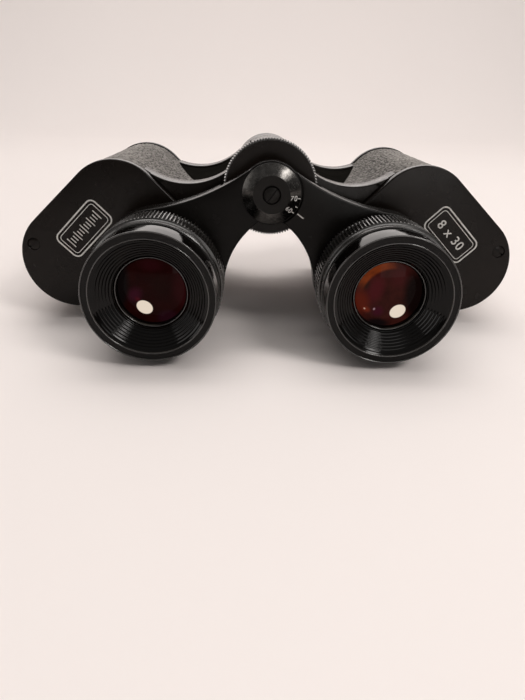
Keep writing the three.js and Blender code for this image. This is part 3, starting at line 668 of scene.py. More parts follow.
def prism_housing(name):
    """Hollow housing with a lug, a thin web, a far lip and two of the four knuckles."""
    own, other = ((0, 2), (1, 3)) if name == "left" else ((1, 3), (0, 2))
    front, back = HOUSING
    beyond = 60  # reaches past the whole housing
    shell = plate(outline_round(CORNERS, -SKIN), front, back)
    lug = plate(web_outline(0), LUG_START, LUG_END, HOUSING_EDGE)
    lip = plate(web_outline(0), WEB_END - FAR_LIP, WEB_END, HOUSING_EDGE)
    lip = cut(lip, brick((EDGE_FAR.x + beyond / 2, WEB_END, FOLD.y), (beyond, 3 * FAR_LIP, beyond)))
    web = plate(web_outline(SADDLE_STEP), LUG_END - 1, WEB_END - FAR_LIP + 1)
    body = join(shell, lug, web, lip, *[knuckle(i, edge=HOUSING_EDGE) for i in own])
    hollow = outline_round(CORNERS, -SKIN - WALL)
    shelf = (front + back - SHELF) / 2
    body = cut(
        body,
        plate(outline_round(CORNERS, GAP), -1, front),
        plate(hollow, front - 1, shelf),
        plate(hollow, shelf + SHELF, back + 1),
        *[disc(at, WINDOW, shelf - 1, shelf + SHELF + 1, SMALL_ROUND) for at, _ in CORNERS],
        *[knuckle(i, room=GAP) for i in other],
        disc(HINGE, AXLE_BORE, -1, WEB_END + 1, SMALL_ROUND),
    )
    line = SADDLE + SADDLE_STEP

    def on_web(at):
        return abs(from_axis(at, SADDLE_CENTRE) - line) < 0.05

    stand_in(f"{name}_prism_housing", "shell", "black_paint", body, paint_black,
             second=(web_black, on_web))


def sunk_hole(centre, face, back):
    """Cutter for a sunk screw: a wide bore at the face and a narrow one through to the back."""
    way = 1 if back > face else -1
    bevel = 0.08
    profile = [
        (0, face - way), (SINK + bevel, face - way), (SINK + bevel, face), (SINK, face + way * bevel),
        (SINK, face + way * SINK_DEPTH), (SHANK, face + way * SINK_DEPTH), (SHANK, back + way),
        (0, back + way),
    ]
    return turned(profile[::way], centre, SMALL_ROUND)


def eyepiece_cover(name):
    holes = [circle(EYE, BARREL + GAP)]
    body = plate(outline_round(CORNERS), 0.0, COVER_END, 0.45, holes, 0.2, 5)
    body = cut(body, sunk_hole(COVER_SCREW, 0, COVER_END))
    stand_in(f"{name}_eyepiece_cover", "plate", "black_paint", body, paint_black)


def objective_cover(name):
    start, end = FAR_COVER
    holes = [circle(OBJECTIVE, SPIGOT + GAP)]
    body = plate(outline_round(CORNERS), start, end, 0.7, holes, 0.2, 5)
    body = cut(body, sunk_hole(FOLD, end, start))
    stand_in(f"{name}_objective_cover", "plate", "black_paint", body, paint_black)


def slotted_screw(node, centre, head, tip, reach, shank, turn, look=black_steel, dome=0.35):
    """A screw along the optical axis; the slot is cut across its domed head."""
    way = 1 if tip > head else -1
    neck = head + way * (dome + 1.0)
    profile = [
        (0, head), (reach * 0.6, head + way * dome * 0.3), (reach, head + way * dome),
        (reach, head + way * (dome + 0.8)), (shank, neck), (shank, tip), (0, tip),
    ]
    width, depth = 0.26 * reach, 0.75
    tool = brick((centre.x, head, centre.y), (2.4 * reach, 2 * depth, width), turn)
    body = cut(turned(profile, centre, SMALL_ROUND, edge=0.12), tool)
    stand_in(node, "slotted", "blackened_steel", body, look)


def cover_screws(name):
    near, far = f"{name}_eyepiece_cover_screw", f"{name}_objective_cover_screw"
    sunk = {"reach": 1.75, "shank": 1.1, "look": paint_black, "dome": 0.15}
    below = 0.1  # the heads lie this much below the covers
    slotted_screw(near, COVER_SCREW, below, ends(near)[1], turn=math.radians(35), **sunk)
    slotted_screw(far, FOLD, FAR_COVER[1] - below, ends(far)[0], turn=math.radians(-20), **sunk)


LEATHER_STEP = 0.23  # mesh spacing of the leatherette
LEATHER_SEED = {"left": 11, "right": 23}
PEBBLE = (1.25, 2.3)  # size of a grain round the housing and along it
GRAIN_DEPTH = 0.34
GRAIN_BEND = 0.45  # how far the rows of grain wander
GRAIN_BASE = 0.6  # the height of grain that lies in the leatherette's surface
FRAYED = 0.5  # the grain dies away this close to an edge
EDGE_SINK = 0.12
UNDERSIDE = 0.26


def leather_path():
    """Outer lines of the leatherette: the wall, the wall and the saddle, and all the way round."""
    start = angle_of(UNDERCUT_CENTRE - EYE)
    after_objective, after_fold, after_eye = tangent_angles(CORNERS)

    def corner(at, reach, first, last):
        return arc(at, reach - COVER_LIP, first, last)

    turn = corner(EYE, CORNER, start, after_eye)
    turn += corner(OBJECTIVE, OUTER_CORNER, after_eye, after_objective)
    wall = turn + corner(FOLD, CORNER, after_objective, angle_of(SADDLE_CENTRE - FOLD))
    saddle = arc(SADDLE_CENTRE, SADDLE + COVER_LIP, angle_of(HINGE - SADDLE_CENTRE),
                 angle_of(FOLD - SADDLE_CENTRE))
    ring = turn + corner(FOLD, CORNER, after_objective, after_fold)
    ring += corner(EYE, CORNER, after_fold, start)
    return wall, wall + saddle[::-1], ring


def grain_height(s, y, seed):
    """Pebbles of leather grain: cells with narrow creases between them, from 0 to 1."""
    s = s + GRAIN_BEND * (np.sin(y * 1.1 + 0.31 * s) + np.sin(y * 0.47 - 0.23 * s))
    y = y + GRAIN_BEND * np.sin(s * 0.9 + 0.5 * y)
    s, y = s / PEBBLE[0] + 2, y / PEBBLE[1] + 2
    columns, rows = int(s.max()) + 4, int(y.max()) + 4
    draw = np.random.RandomState(seed)
    jitter = draw.uniform(0.08, 0.92, (columns, rows, 2))
    lift = draw.uniform(0.62, 1.0, (columns, rows))
    cell_s, cell_y = np.floor(s).astype(int), np.floor(y).astype(int)
    nearest = np.full(s.shape, 9.0)
    second = np.full(s.shape, 9.0)
    own = np.zeros(s.shape)
    for ds in (-1, 0, 1):
        for dy in (-1, 0, 1):
            cs = np.clip(cell_s + ds, 0, columns - 1)
            cy = np.clip(cell_y + dy, 0, rows - 1)
            apart = np.hypot(cs + jitter[cs, cy, 0] - s, cy + jitter[cs, cy, 1] - y)
            closer = apart < nearest
            second = np.where(closer, nearest, np.minimum(second, apart))
            own = np.where(closer, lift[cs, cy], own)
            nearest = np.where(closer, apart, nearest)
    crease = np.clip((second - nearest) / 0.42, 0, 1)
    return own * crease * (2 - crease)


def measured(points):
    """A line without repeated points, with their distances from its start."""
    xy = np.array([tuple(p) for p in points])
    keep = np.r_[True, np.hypot(*np.diff(xy, axis=0).T) > 1e-6]
    xy = xy[keep]
    gone = np.r_[0, np.cumsum(np.hypot(*np.diff(xy, axis=0).T))]
    return xy, gone


def on_line(s, xy, gone):
    """Places at given distances along a measured line."""
    return np.interp(s, gone, xy[:, 0]), np.interp(s, gone, xy[:, 1])


def leather_patch(body, layer, xy, gone, last, first_s, y_range, seed):
    """One closed slab of leatherette from first_s to last(y) along the line, between two places."""
    rows = max(2, math.ceil((y_range[1] - y_range[0]) / LEATHER_STEP))
    columns = max(2, math.ceil((max(last(y_range[0]), last(y_range[1])) - first_s) / LEATHER_STEP))
    y = np.linspace(*y_range, rows + 1)[:, None]
    end = np.array([last(v) for v in y[:, 0]])[:, None]
    s = first_s + (end - first_s) * np.linspace(0, 1, columns + 1)[None, :]
    y = np.broadcast_to(y, s.shape)
    px, pz = on_line(s, xy, gone)
    reach = 0.3  # the line's direction is taken this far ahead and behind
    ahead_x, ahead_z = on_line(np.minimum(s + reach, gone[-1]), xy, gone)
    behind_x, behind_z = on_line(np.maximum(s - reach, 0), xy, gone)
    tx, tz = ahead_x - behind_x, ahead_z - behind_z
    size = np.hypot(tx, tz)
    nx, nz = tz / size, -tx / size
    height = grain_height(s, y, seed)
    near_edge = np.minimum(np.minimum(y - y_range[0], y_range[1] - y), np.minimum(s - first_s, end - s))
    fade = np.clip(near_edge / FRAYED, 0, 1)
    out = (height - GRAIN_BASE) * GRAIN_DEPTH * fade - EDGE_SINK * (1 - fade)
    grids = []
    for depth in (out, np.full(out.shape, -UNDERSIDE)):
        place = np.dstack((px + nx * depth, y, pz + nz * depth))
        grids.append([[body.verts.new(place[j, i]) for i in range(columns + 1)] for j in range(rows + 1)])
    top, under = grids
    # the grain height kept on the skin also sets the painted crease shade of the leatherette
    shown = height * fade + 0.4 * (1 - fade)
    for j in range(rows + 1):
        for i in range(columns + 1):
            top[j][i][layer] = float(shown[j, i])
    cells = [(j, i) for j in range(rows) for i in range(columns)]
    for j, i in cells:
        corners = (top[j][i], top[j][i + 1], top[j + 1][i + 1], top[j + 1][i])
        body.faces.new(corners).smooth = True
    # the narrow faces round the border join the top to the underside, which is a grid like it
    border = [(0, i) for i in range(columns)] + [(j, columns) for j in range(rows)]
    border += [(rows, i) for i in range(columns, 0, -1)] + [(j, 0) for j in range(rows, 0, -1)]
    for k, (a, b) in enumerate(border):
        c, d = border[k - 1]
        body.faces.new((top[c][d], top[a][b], under[a][b], under[c][d]))
    for j, i in cells:
        body.faces.new((under[j][i], under[j + 1][i], under[j + 1][i + 1], under[j][i + 1]))


def leatherette(name):
    """The skin round the housing: three bands, of which the middle one runs up the saddle."""
    wall, whole, ring = (measured(line) for line in leather_path())
    xy, gone = whole
    wall_end = wall[1][-1] + 0.2
    past = gone >= wall[1][-1] - 1e-6

    def saddle_end(y):
        share = (y - EDGE_NEAR.y) / (EDGE_FAR.y - EDGE_NEAR.y)
        x = EDGE_NEAR.x + (EDGE_FAR.x - EDGE_NEAR.x) * min(max(share, 0), 1)
        return float(np.interp(-x, -xy[past, 0], gone[past]))

    body = bmesh.new()
    layer = body.verts.layers.float.new("grain")
    first = 0.4
    near, back = LUG_END + 0.12, WEB_END + 0.2
    bands = [
        (whole, lambda y: wall_end, (HOUSING[0] - 0.15, near)),
        (whole, saddle_end, (near, back)),
        (ring, lambda y: ring[1][-1] - first, (back, HOUSING[1] + 0.15)),
    ]
    for line, last, y_range in bands:
        leather_patch(body, layer, *line, last, first, y_range, LEATHER_SEED[name])
    stand_in(f"{name}_leatherette", "skin", "leatherette", body, leatherette_look,
             smooth=math.radians(60))


# ---- Objective end ----


def objective_tube(name):
    """Tube with a thin wall, a stepped shoulder and a spigot that sits in the cover."""
    start, end = ends("right_objective_tube")
    bore, shoulder, throat = TUBE - 1.1, TUBE - 1.2, 12.5
    body = turned([
        (throat, start), (SPIGOT, start), (SPIGOT, start + 3.1), (shoulder, start + 3.1),
        (shoulder, start + 5.1), (TUBE, start + 6.1), (TUBE, end), (bore, end), (bore, start + 7.1),
        (throat, start + 7.1),
    ], OBJECTIVE, edge=0.25)
    stand_in(f"{name}_objective_tube", "shell", "black_paint", body, paint_black)


def objective_rim(name):
    """Outer ring with a fine groove and a rounded front edge."""
    start, end = ends("right_objective_rim")
    inner = TUBE + GAP
    opening = radius("right_objective_lens") + 1.1
    groove = RIM - 0.3
    body = turned([
        (inner, start), (RIM - 0.35, start), (RIM, start + 0.5), (RIM, start + 4.6),
        (groove, start + 4.9), (groove, start + 5.3), (RIM, start + 5.6), (RIM, end - 0.7),
        (RIM - 0.7, end), (opening + 0.5, end), (opening, end - 0.5), (opening, end - 1.2),
        (inner, end - 1.2),
    ], OBJECTIVE, edge=0.25)
    stand_in(f"{name}_objective_rim", "ring", "ring_paint", body, paint_ring)


def objective_cell(name):
    """Cell that holds the front lens, with a few turned grooves behind it."""
    start, end = ends("right_objective_cell")
    lens_seat = ends("right_objective_lens")[0] - 0.3
    cell = radius("right_objective_cell")
    lens_bore = radius("right_objective_lens") + GAP
    throat, pitch = 12.6, 0.5
    steps = [(lens_bore, end), (lens_bore, lens_seat), (lens_bore - 1.2, lens_seat)]
    threads = [(throat + 0.5 * (k % 2), lens_seat - 1 - pitch * k) for k in range(10)]
    body = turned([(cell, start), (cell, end), *steps, *threads, (throat, start)], OBJECTIVE, edge=0.08)
    stand_in(f"{name}_objective_cell", "ring", "matt_black", body, matt_black)


def objective_lens(name):
    start, end = ends("right_objective_lens")
    body = lens_body(OBJECTIVE, radius("right_objective_lens"), start, end, 1, 2)
    stand_in(f"{name}_objective_lens", "glass", "glass", body, front_glass)


def lens_retainer(name):
    start, end = ends("right_objective_lens_retainer")
    reach = radius("right_objective_lens")
    inner = reach - 1.1
    profile = [(inner, start), (reach, start), (reach, end), (reach - 0.5, end), (inner, end - 0.9)]
    build(f"{name}_objective_retainer_ring", turned(profile, OBJECTIVE, edge=0.15), matt_black,
          f"{name}_objective_lens_retainer", "matt_black", SIDE[name])


def lens_body(centre, reach, start, end, near_bulge, far_bulge, steps=14):
    """A lens with domed faces and a ground edge."""
    near = [(reach * i / steps, start + near_bulge * (i / steps) ** 2) for i in range(steps + 1)]
    far = [(reach * i / steps, end - far_bulge * (i / steps) ** 2) for i in range(steps + 1)]
    return turned([*near, *reversed(far)], centre, 96)


def strap_lug(name):
    """A flat loop beside the objective, with a slot for the strap."""
    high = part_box("right_strap_lug")[1]
    start, end = ends("right_strap_lug")
    bar, eye_reach, spacing = 1.8, 1.5, 5
    across = (high.x - ORIGIN.x) / MM - eye_reach - bar
    discs = [(Vector((across, OBJECTIVE.y + way * spacing / 2)), eye_reach + bar) for way in (-1, 1)]
    slot = outline_round(discs, -bar)
    body = plate(outline_round(discs), start, end, 0.6, [slot], 0.5, 5)
    body = cut(body, disc(OBJECTIVE, OUTER_CORNER + GAP, start - 1, end + 1))
    stand_in(f"{name}_strap_lug", "loop", "blackened_steel", body, black_steel)


# ---- Bridge, wheel and hub ----

SPINDLE_BORE = 3.5
CLAMP_DEPTH = 2.5  # of the barrel's clamp in the bridge arm
CLAMP_ROOM = 15.5


def bridge_arm(name):
    """Bridge arm; of the two rings round the hinge the left arm has the front one."""
    front, back = ARM_FRONT, ARM_BACK
    split = (front + ARM_ROOT_BACK) / 2
    if name == "left":
        own, lap = (front, split - GAP / 2), (split - GAP / 2, back)
    else:
        own, lap = (split + GAP / 2, ARM_ROOT_BACK), (front - 1, split + GAP / 2)
    body = plate(arm_outline(), front, back, 0.55, steps=5)
    wheel_room = disc(HINGE, WHEEL + 2 * GAP, ARM_ROOT_BACK, back + 1)
    body = cut(body, wheel_room, disc(HINGE, ARM_RING + GAP, *lap))
    body = join(body, disc(HINGE, ARM_RING, *own, edge=0.2))
    body = cut(
        body,
        disc(HINGE, SPINDLE_BORE, front - 1, back, SMALL_ROUND),
        disc(EYE, CLAMP + GAP, front - 1, back + 1),
        disc(EYE, CLAMP_ROOM, front + CLAMP_DEPTH, back + 1),
    )
    stand_in(f"{name}_bridge_arm", "casting", "black_paint", body, arm_black)


WHEEL_TEETH = 104


def focus_wheel():
    """Wheel with a fine straight knurl that fades out on its bevelled edges."""
    start, end = ends("focus_wheel")
    knurl_from = WHEEL - 0.75

    def knurl(angle, reach, at):
        if reach < knurl_from:
            return reach
        phase = (angle * WHEEL_TEETH / (2 * math.pi)) % 1
        groove = 0.5 - 0.5 * math.cos(2 * math.pi * phase)
        return reach - 0.5 * groove**1.5 * min(1, (reach - knurl_from) / 0.3)

    def on_rim(at):
        return from_axis(at) > knurl_from

    hub = 5.2
    profile = [
        (SPINDLE_BORE, start + 0.3), (hub, start + 0.3), (hub + 0.6, start), (WHEEL - 0.8, start),
        (WHEEL - 0.5, start), (WHEEL - 0.1, start + 0.3), (WHEEL, start + 0.55), (WHEEL, end - 0.9),
        (WHEEL - 0.9, end), (SPINDLE_BORE, end),
    ]
    body = turned(rounded(profile, 0.12), HINGE, WHEEL_TEETH * 6, knurl)
    # the knurled rim takes the lighter ring paint and the face the darker black paint: a painted
    # highlight on the teeth
    stand_in("focus_wheel", "knurled", "ring_paint", body, paint_black, second=(paint_ring, on_rim))


def spindle():
    """Brass spindle with a fine thread and a blind bore in its front."""
    start, end = ends("focus_spindle")
    reach = radius("focus_spindle")
    pitch, bore, bottom = 0.6, 2.0, start + 7
    count = int((end - start - 10) / pitch)
    threads = [(reach - 0.28 * (k % 2), start + 8 + pitch * k) for k in range(count)]
    profile = [(bore, start), (reach, start), (reach, start + 6), *threads, (reach - 0.5, end), (0, end),
               (0, bottom), (bore, bottom)]
    stand_in("focus_spindle", "thread", "brass", turned(profile, HINGE, SMALL_ROUND), brass)


CAP_FLAT = 4.7  # where the scale cap's flat face ends and its chamfer starts
CAP_EDGE = 0.4


def scale_cap():
    """Cap with a chamfer for the scale, and the screw in its middle."""
    start, end = ends("scale_cap")
    reach, bore, recess, sink = radius("scale_cap"), 1.4, 2.28, start + 0.8
    face = start + 0.16

    def on_chamfer(at):
        return CAP_FLAT + 0.2 < from_axis(at) < reach - 0.12 and at.y < end - 0.2

    body = turned([
        (bore, end), (reach, end), (reach, end - CAP_EDGE), (CAP_FLAT + 0.15, start + 0.06),
        (CAP_FLAT, face), (recess + 0.14, face), (recess, start + 0.35), (recess, sink), (bore, sink),
    ], HINGE, edge=0.12)
    stand_in("scale_cap", "turned", "black_paint", body, paint_hub, second=(turned_black, on_chamfer))
    slotted_screw("scale_cap_screw", HINGE, *ends("scale_cap_screw"), radius("scale_cap_screw"), 1.1,
                  math.radians(-52), paint_hub)


def front_hub():
    """Cap at the objective end of the hinge, and its screw."""
    start, end = ends("front_hinge_cap")
    reach, bore, recess, sink = radius("front_hinge_cap"), 2.1, 3.3, end - 1.5
    body = turned([
        (bore, start), (reach, start), (reach, end - 1.6), (reach - 0.4, end - 0.9), (reach - 2, end),
        (recess + 0.2, end), (recess, end - 0.4), (recess, sink), (bore, sink),
    ], HINGE, edge=0.35)
    stand_in("front_hinge_cap", "turned", "black_paint", body, paint_hub)
    start, end = ends("front_hinge_screw")
    slotted_screw("front_hinge_screw", HINGE, end, start, 3.0, 1.8, math.radians(30))


# ---- Eyepieces ----

RIBS = 114


def ribbed_ring(name):
    """Ring with rounded ribs that run out into a smooth band at the eye end."""
    start, end = ends(f"{name}_ribbed_ring")
    band = start + 2.6

    def rib(angle, reach, at):
        if reach < RING - 0.75 or at < band - 0.01:
            return reach
        phase = (angle * RIBS / (2 * math.pi)) % 1
        groove = abs(2 * phase - 1)
        groove = max(0.0, min(1.0, (groove - 0.30) / 0.36))
        fade = min(1, (at - band) / 0.9) * min(1, max(0.25, (end - at) / 0.7))
        return reach - 0.95 * groove * fade

    inner, smooth_band = NECK + GAP, RING - 0.72
    levels = [band, band + 0.3, band + 0.7, band + 1.1, (band + end) / 2, end - 1.0, end - 0.6]
    profile = [
        (inner, start), (RING - 1.0, start), (smooth_band, start + 0.25), (smooth_band, band - 0.5),
        (RING - 0.5, band - 0.15), *[(RING - (0.12 if at < band + 0.2 else 0), at) for at in levels],
        (RING - 0.25, end - 0.22), (RING - 0.7, end), (inner, end),
    ]
    body = turned(profile, EYE, RIBS * 8, rib)
    stand_in(f"{name}_ribbed_ring", "turned", "ring_paint", body, paint_ring)


CUP_THREADS = 7  # fine grooves on the hollow cone round the eye lens
CUP_THREAD_DEPTH = 0.065
CUP_SEAT = 13.6  # the neck that the eyecup sits on
CUP_FACETS = 160


def bead(reach, front, across, depth, steps=8):
    """Profile of a half-round ridge; with a negative width it runs outwards."""
    turns = [math.pi * k / steps for k in range(steps + 1)]
    return [(reach + across * math.cos(t), front + depth - depth * math.sin(t)) for t in turns]


def eyecup(name):
    """Glossy cup: a slightly conical outside, a lip between two beads and a finely grooved hollow."""
    front, back = ends(f"{name}_eyecup")
    floor = front + 4.4
    seat = CUP_SEAT + GAP
    lip = CUP - 3
    outside = [
        (seat, back), (CUP - 0.55, back), (CUP - 0.12, back - 0.35), (CUP, back - 1.1),
        (CUP - 0.12, back - 3.4), (CUP - 0.32, front + 1.35), (CUP - 0.45, front + 0.55),
    ]
    outside = rounded(outside, 0.5, 4, shut=False)
    beads = bead(CUP - 0.28, front, 0.22, 0.3) + bead(lip + 0.95, front, 0.22, 0.3)
    cone, inner, outer = [], LENS + 0.35, lip + 0.6
    top, bottom = front + 0.4, floor - 0.35
    for k in range(CUP_THREADS * 8 + 1):
        share = k / (CUP_THREADS * 8)
        wave = CUP_THREAD_DEPTH * math.sin(math.pi * k / 4) * min(1, 4 * share)
        cone.append((outer - (outer - inner) * share, top + (bottom - top) * share + wave))
    profile = [*outside, *beads, *cone, (inner, floor), (seat, floor)]

    def on_beads(at):
        reach = from_axis(at, EYE)
        return at.y < front + 0.295 and (reach > CUP - 0.55 or reach < lip + 1.2)

    # the beads take the lighter copy of the gloss black: painted highlight lines
    stand_in(f"{name}_eyecup", "turned", "gloss_black", turned(profile, EYE, CUP_FACETS), gloss_black,
             second=(gloss_with_painted_highlight, on_beads))


def lens_nose(start):
    """Profile from the back of the eyecup to the front of a tube and in to the eye lens's seat."""
    cup_back = ends("right_eyecup")[1] + GAP
    lens_bore, lens_seat, opening = LENS + GAP, -23.7, 7
    return [(NECK, cup_back), (CUP_SEAT, cup_back), (CUP_SEAT, start), (lens_bore, start),
            (lens_bore, lens_seat), (opening, lens_seat)]


def barrel(name):
    """Barrel with the flange that rests on the bridge arm; the right one takes the lens tube."""
    start, end = ends(f"{name}_eyepiece_barrel")
    flange = radius(f"{name}_eyepiece_barrel")
    front, seat, clamp_end = ARM_FRONT - GAP - 1, ARM_FRONT - GAP, ARM_FRONT + CLAMP_DEPTH
    nose = lens_nose(start) if name == "left" else [(NECK, start), (11.7, start)]
    body = turned([
        (nose[-1][0], end), (BARREL, end), (BARREL, clamp_end), (CLAMP, clamp_end), (CLAMP, seat),
        (flange, seat), (flange, front), (NECK, front), *nose,
    ], EYE, edge=0.15)
    stand_in(f"{name}_eyepiece_barrel", "turned", "black_paint", body, paint_black)


def right_lens_tube():
    """The right eye lens's own tube, which the dioptre ring slides in the barrel."""
    start, end = ends("right_lens_tube")
    reach = 11.4
    collar = ends("right_ribbed_ring")[1] - 2.1
    nose = lens_nose(start)
    profile = [(nose[-1][0], end), (reach, end), (reach, collar), (NECK, collar), *nose]
    stand_in("right_lens_tube", "turned", "matt_black", turned(profile, EYE, edge=0.12), matt_black)


def sleeve(name):
    start, end = ends(f"{name}_eyepiece_sleeve")
    inner, outer = BARREL + GAP, radius(f"{name}_eyepiece_sleeve")
    profile = [(inner, start), (outer - 0.3, start), (outer, start + 0.3), (outer, end), (inner, end)]
    body = turned(profile, EYE, edge=0.1)
    stand_in(f"{name}_eyepiece_sleeve", "turned", "blackened_steel", body, black_steel)


# Painted light of the eye lenses: the body tone and patches paint the view inside with its light and
# shade, the right lens's two pale patches are painted glints and its arc a painted crescent of light, and
# the place after the patches is the painted exit pupil.
left_lens = lens_with_painted_light(
    "left", (0.0170, 0.0022, 0.0018),
    [((0.0, 6.6), (0.026, 0.0030, 0.0046), 0.8, 4.2, 1.9, -0.1, 0.8),
     ((8.0, -0.6), (0.030, 0.0040, 0.0046), 1.2, 3.6, 0.5, 0.2, 0.85),
     ((2.2, 1.2), (0.012, 0.0030, 0.0020), 0.8, 4.0, 0.8, 0.4, 0.7),
     ((-4.6, -1.2), (0.046, 0.0052, 0.0150), 0.4, 2.6, 0.8, -0.7, 0.85),
     ((-3.9, -2.4), (0.090, 0.0060, 0.0120), 0.1, 1.2, 1.2, -0.5, 0.7),
     ((3.4, -7.4), (0.022, 0.0040, 0.0085), 1.5, 3.6, 1.4, 0.2, 0.8),
     ((-8.8, 0.6), (0.0050, 0.0034, 0.0034), 1.6, 3.4, 0.35, -0.15, 1.0)],
    (-2.3, -4.6))
right_lens = lens_with_painted_light(
    "right", (0.052, 0.0110, 0.0080),
    [((2.6, 4.4), (0.066, 0.0105, 0.0105), 0.8, 4.2, 1.1, 0.2, 0.8),
     ((-3.4, 1.2), (0.088, 0.0095, 0.0130), 0.6, 3.2, 0.55, -0.25, 0.8),
     ((-6.6, 3.0), (0.022, 0.0110, 0.0070), 0.4, 1.9, 0.7, 0.7, 0.75),
     ((-7.0, -2.4), (0.128, 0.0150, 0.0060), 0.8, 3.4, 0.7, 0.15, 0.9),
     ((-5.2, -4.4), (0.230, 0.0300, 0.0120), 0.1, 1.7, 1.5, -0.5, 0.75),
     ((-5.7, -4.2), (0.95, 0.60, 0.45), 0.02, 0.42, 1.3, -0.8, 1.0),
     ((-3.2, -4.2), (1.0, 0.66, 0.72), 0.02, 0.42, 0.8, -0.3, 1.0),
     ((-2.2, -4.8), (0.060, 0.0055, 0.0170), 0.4, 2.2, 1.0, 0.0, 0.8),
     ((-1.8, -8.3), (0.0075, 0.0044, 0.0046), 1.4, 4.6, 2.3, -0.1, 1.0),
     ((8.2, -1.2), (0.0062, 0.0024, 0.0020), 2.4, 5.0, 0.5, 0.25, 1.0)],
    (3.1, -4.8), ((-4.4, 6.6), (0.26, 0.046, 0.010), (0.85, -1.1), 7.7))


def eye_lens(name):
    look = left_lens if name == "left" else right_lens
    start, end = ends(f"{name}_eye_lens")
    body = lens_body(EYE, LENS, start, end, 1.4, 0.0, 24)
    stand_in(f"{name}_eye_lens", "coated", "coated_eye_lens", body, look)


def eye_lens_ring(name):
    """Thin ring that holds the eye lens, with a fine bead that catches the light; the bead takes a
    lighter paint as a painted highlight.
    """
    start, end = ends(f"{name}_eye_lens_ring")
    opening = 8.75
    profile = [
        (opening, end - 0.35), (opening, start + 0.75), (opening + 0.12, start + 0.6),
        *bead(LENS - 0.22, start, -0.2, 0.2), (LENS, start + 0.3), (LENS, end),
    ]
    stand_in(f"{name}_eye_lens_ring", "turned", "matt_black", turned(profile, EYE, CUP_FACETS),
             gloss_black, second=(gloss_with_painted_highlight, lambda at: at.y < start + 0.195))


# ---- Markings ----

MARK_PROUD = 0.05


def stroke(body, path, width, front, shut=False):
    """A thin raised line of even width along a flat path, on a face that looks towards the eye."""
    count = len(path)
    left, right = [], []
    for i, point in enumerate(path):
        before = path[i - 1] if (shut or i) else point
        after = path[(i + 1) % count] if (shut or i + 1 < count) else point
        along = (after - before).normalized()
        normal = Vector((-along.y, along.x)) * (width / 2)
        left.append(point + normal)
        right.append(point - normal)
    rows = []
    for a, b in zip(left, right):
        corners = ((a, 0), (b, 0), (b, MARK_PROUD), (a, MARK_PROUD))
        rows.append([body.verts.new((p.x, front - lift, p.y)) for p, lift in corners])
    pairs = list(zip(rows, rows[1:])) + ([(rows[-1], rows[0])] if shut else [])
    for near, far in pairs:
        for k in range(4):
            body.faces.new((near[k - 1], near[k], far[k], far[k - 1]))
    if not shut:
        body.faces.new(rows[0])
        body.faces.new(rows[-1][::-1])


def lettering(text, height):
    """Plain numerals as flat outlines: points and faces in the plane, centred on their middle."""
    curve = bpy.data.curves.new("text", "FONT")
    curve.body = text
    curve.size = height / 0.7
    curve.space_character = 1.12
    curve.offset = height * 0.012
    holder = bpy.data.objects.new("text", curve)
    bpy.context.scene.collection.objects.link(holder)
    bpy.context.view_layer.update()
    mesh = holder.evaluated_get(bpy.context.evaluated_depsgraph_get()).to_mesh()
    points = [v.co.copy() for v in mesh.vertices]
    faces = [tuple(p.vertices) for p in mesh.polygons]
    bpy.data.objects.remove(holder)
    bpy.data.curves.remove(curve)
    centre = Vector([(min(p[k] for p in points) + max(p[k] for p in points)) / 2 for k in range(3)])
    return [(p - centre).xy for p in points], faces


def raise_flat(body, points, faces, place):
    """Adds flat faces as thin raised shapes; place turns a flat point and a lift into millimetres."""
    tops = [body.verts.new(place(x, y, MARK_PROUD)) for x, y in points]
    bases = [body.verts.new(place(x, y, 0.0)) for x, y in points]
    edges = dict.fromkeys((face[k - 1], face[k]) for face in faces for k in range(len(face)))
    for face in faces:
        body.faces.new([tops[i] for i in face])
        body.faces.new([bases[i] for i in reversed(face)])
    for a, b in edges:
        if (b, a) not in edges:
            body.faces.new((tops[b], tops[a], bases[a], bases[b]))


def badge_frame(centre, turn, half_width, half_height, corner):
    """A rounded rectangle, anticlockwise, turned in the plane of the cover."""
    points = []
    for k, (sx, sy) in enumerate([(1, -1), (1, 1), (-1, 1), (-1, -1)]):
        inner = Vector((sx * (half_width - corner), sy * (half_height - corner)))
        start = math.pi / 2 * (k - 1)
        points += arc(inner, corner, start, start + math.pi / 2, math.radians(12))
    c, s = math.cos(turn), math.sin(turn)
    return [centre + Vector((p.x * c - p.y * s, p.x * s + p.y * c)) for p in points]


BADGE = Vector((54.7, -13.3))  # middle of the mark on the cover
BADGE_TURN = math.radians(-45)
BADGE_HALF = (8.4, 4.4)


def badge(name):
    """A generic frame on the cover: the right one holds the power and aperture, the left one bars."""
    side = SIDE[name]
    body = bmesh.new()
    for shrink, width in ((0, 0.42), (1.0, 0.2)):
        half = [length - shrink for length in BADGE_HALF]
        outline = badge_frame(BADGE, BADGE_TURN, *half, 1.8 - shrink * 0.8)
        stroke(body, outline, width, 0.0, shut=True)
    c, s = math.cos(BADGE_TURN), math.sin(BADGE_TURN)

    def on_cover(x, y, lift):
        x = x * side  # so that the mirrored side reads the right way round
        return BADGE.x + x * c - y * s, -lift, BADGE.y + x * s + y * c

    if name == "right":
        raise_flat(body, *lettering("8 x 30", 2.7), on_cover)
    else:
        for k in range(-6, 7):
            reach = 1.7 if k % 3 == 0 else 1.0
            line = [BADGE + Vector((k * c - level * s, k * s + level * c)) for level in (-reach, reach)]
            stroke(body, line, 0.3, 0.0)
    build(f"{name}_cover_marking", body, marking, side=side, ride=BODY_OF[f"{name}_eyepiece_cover"])


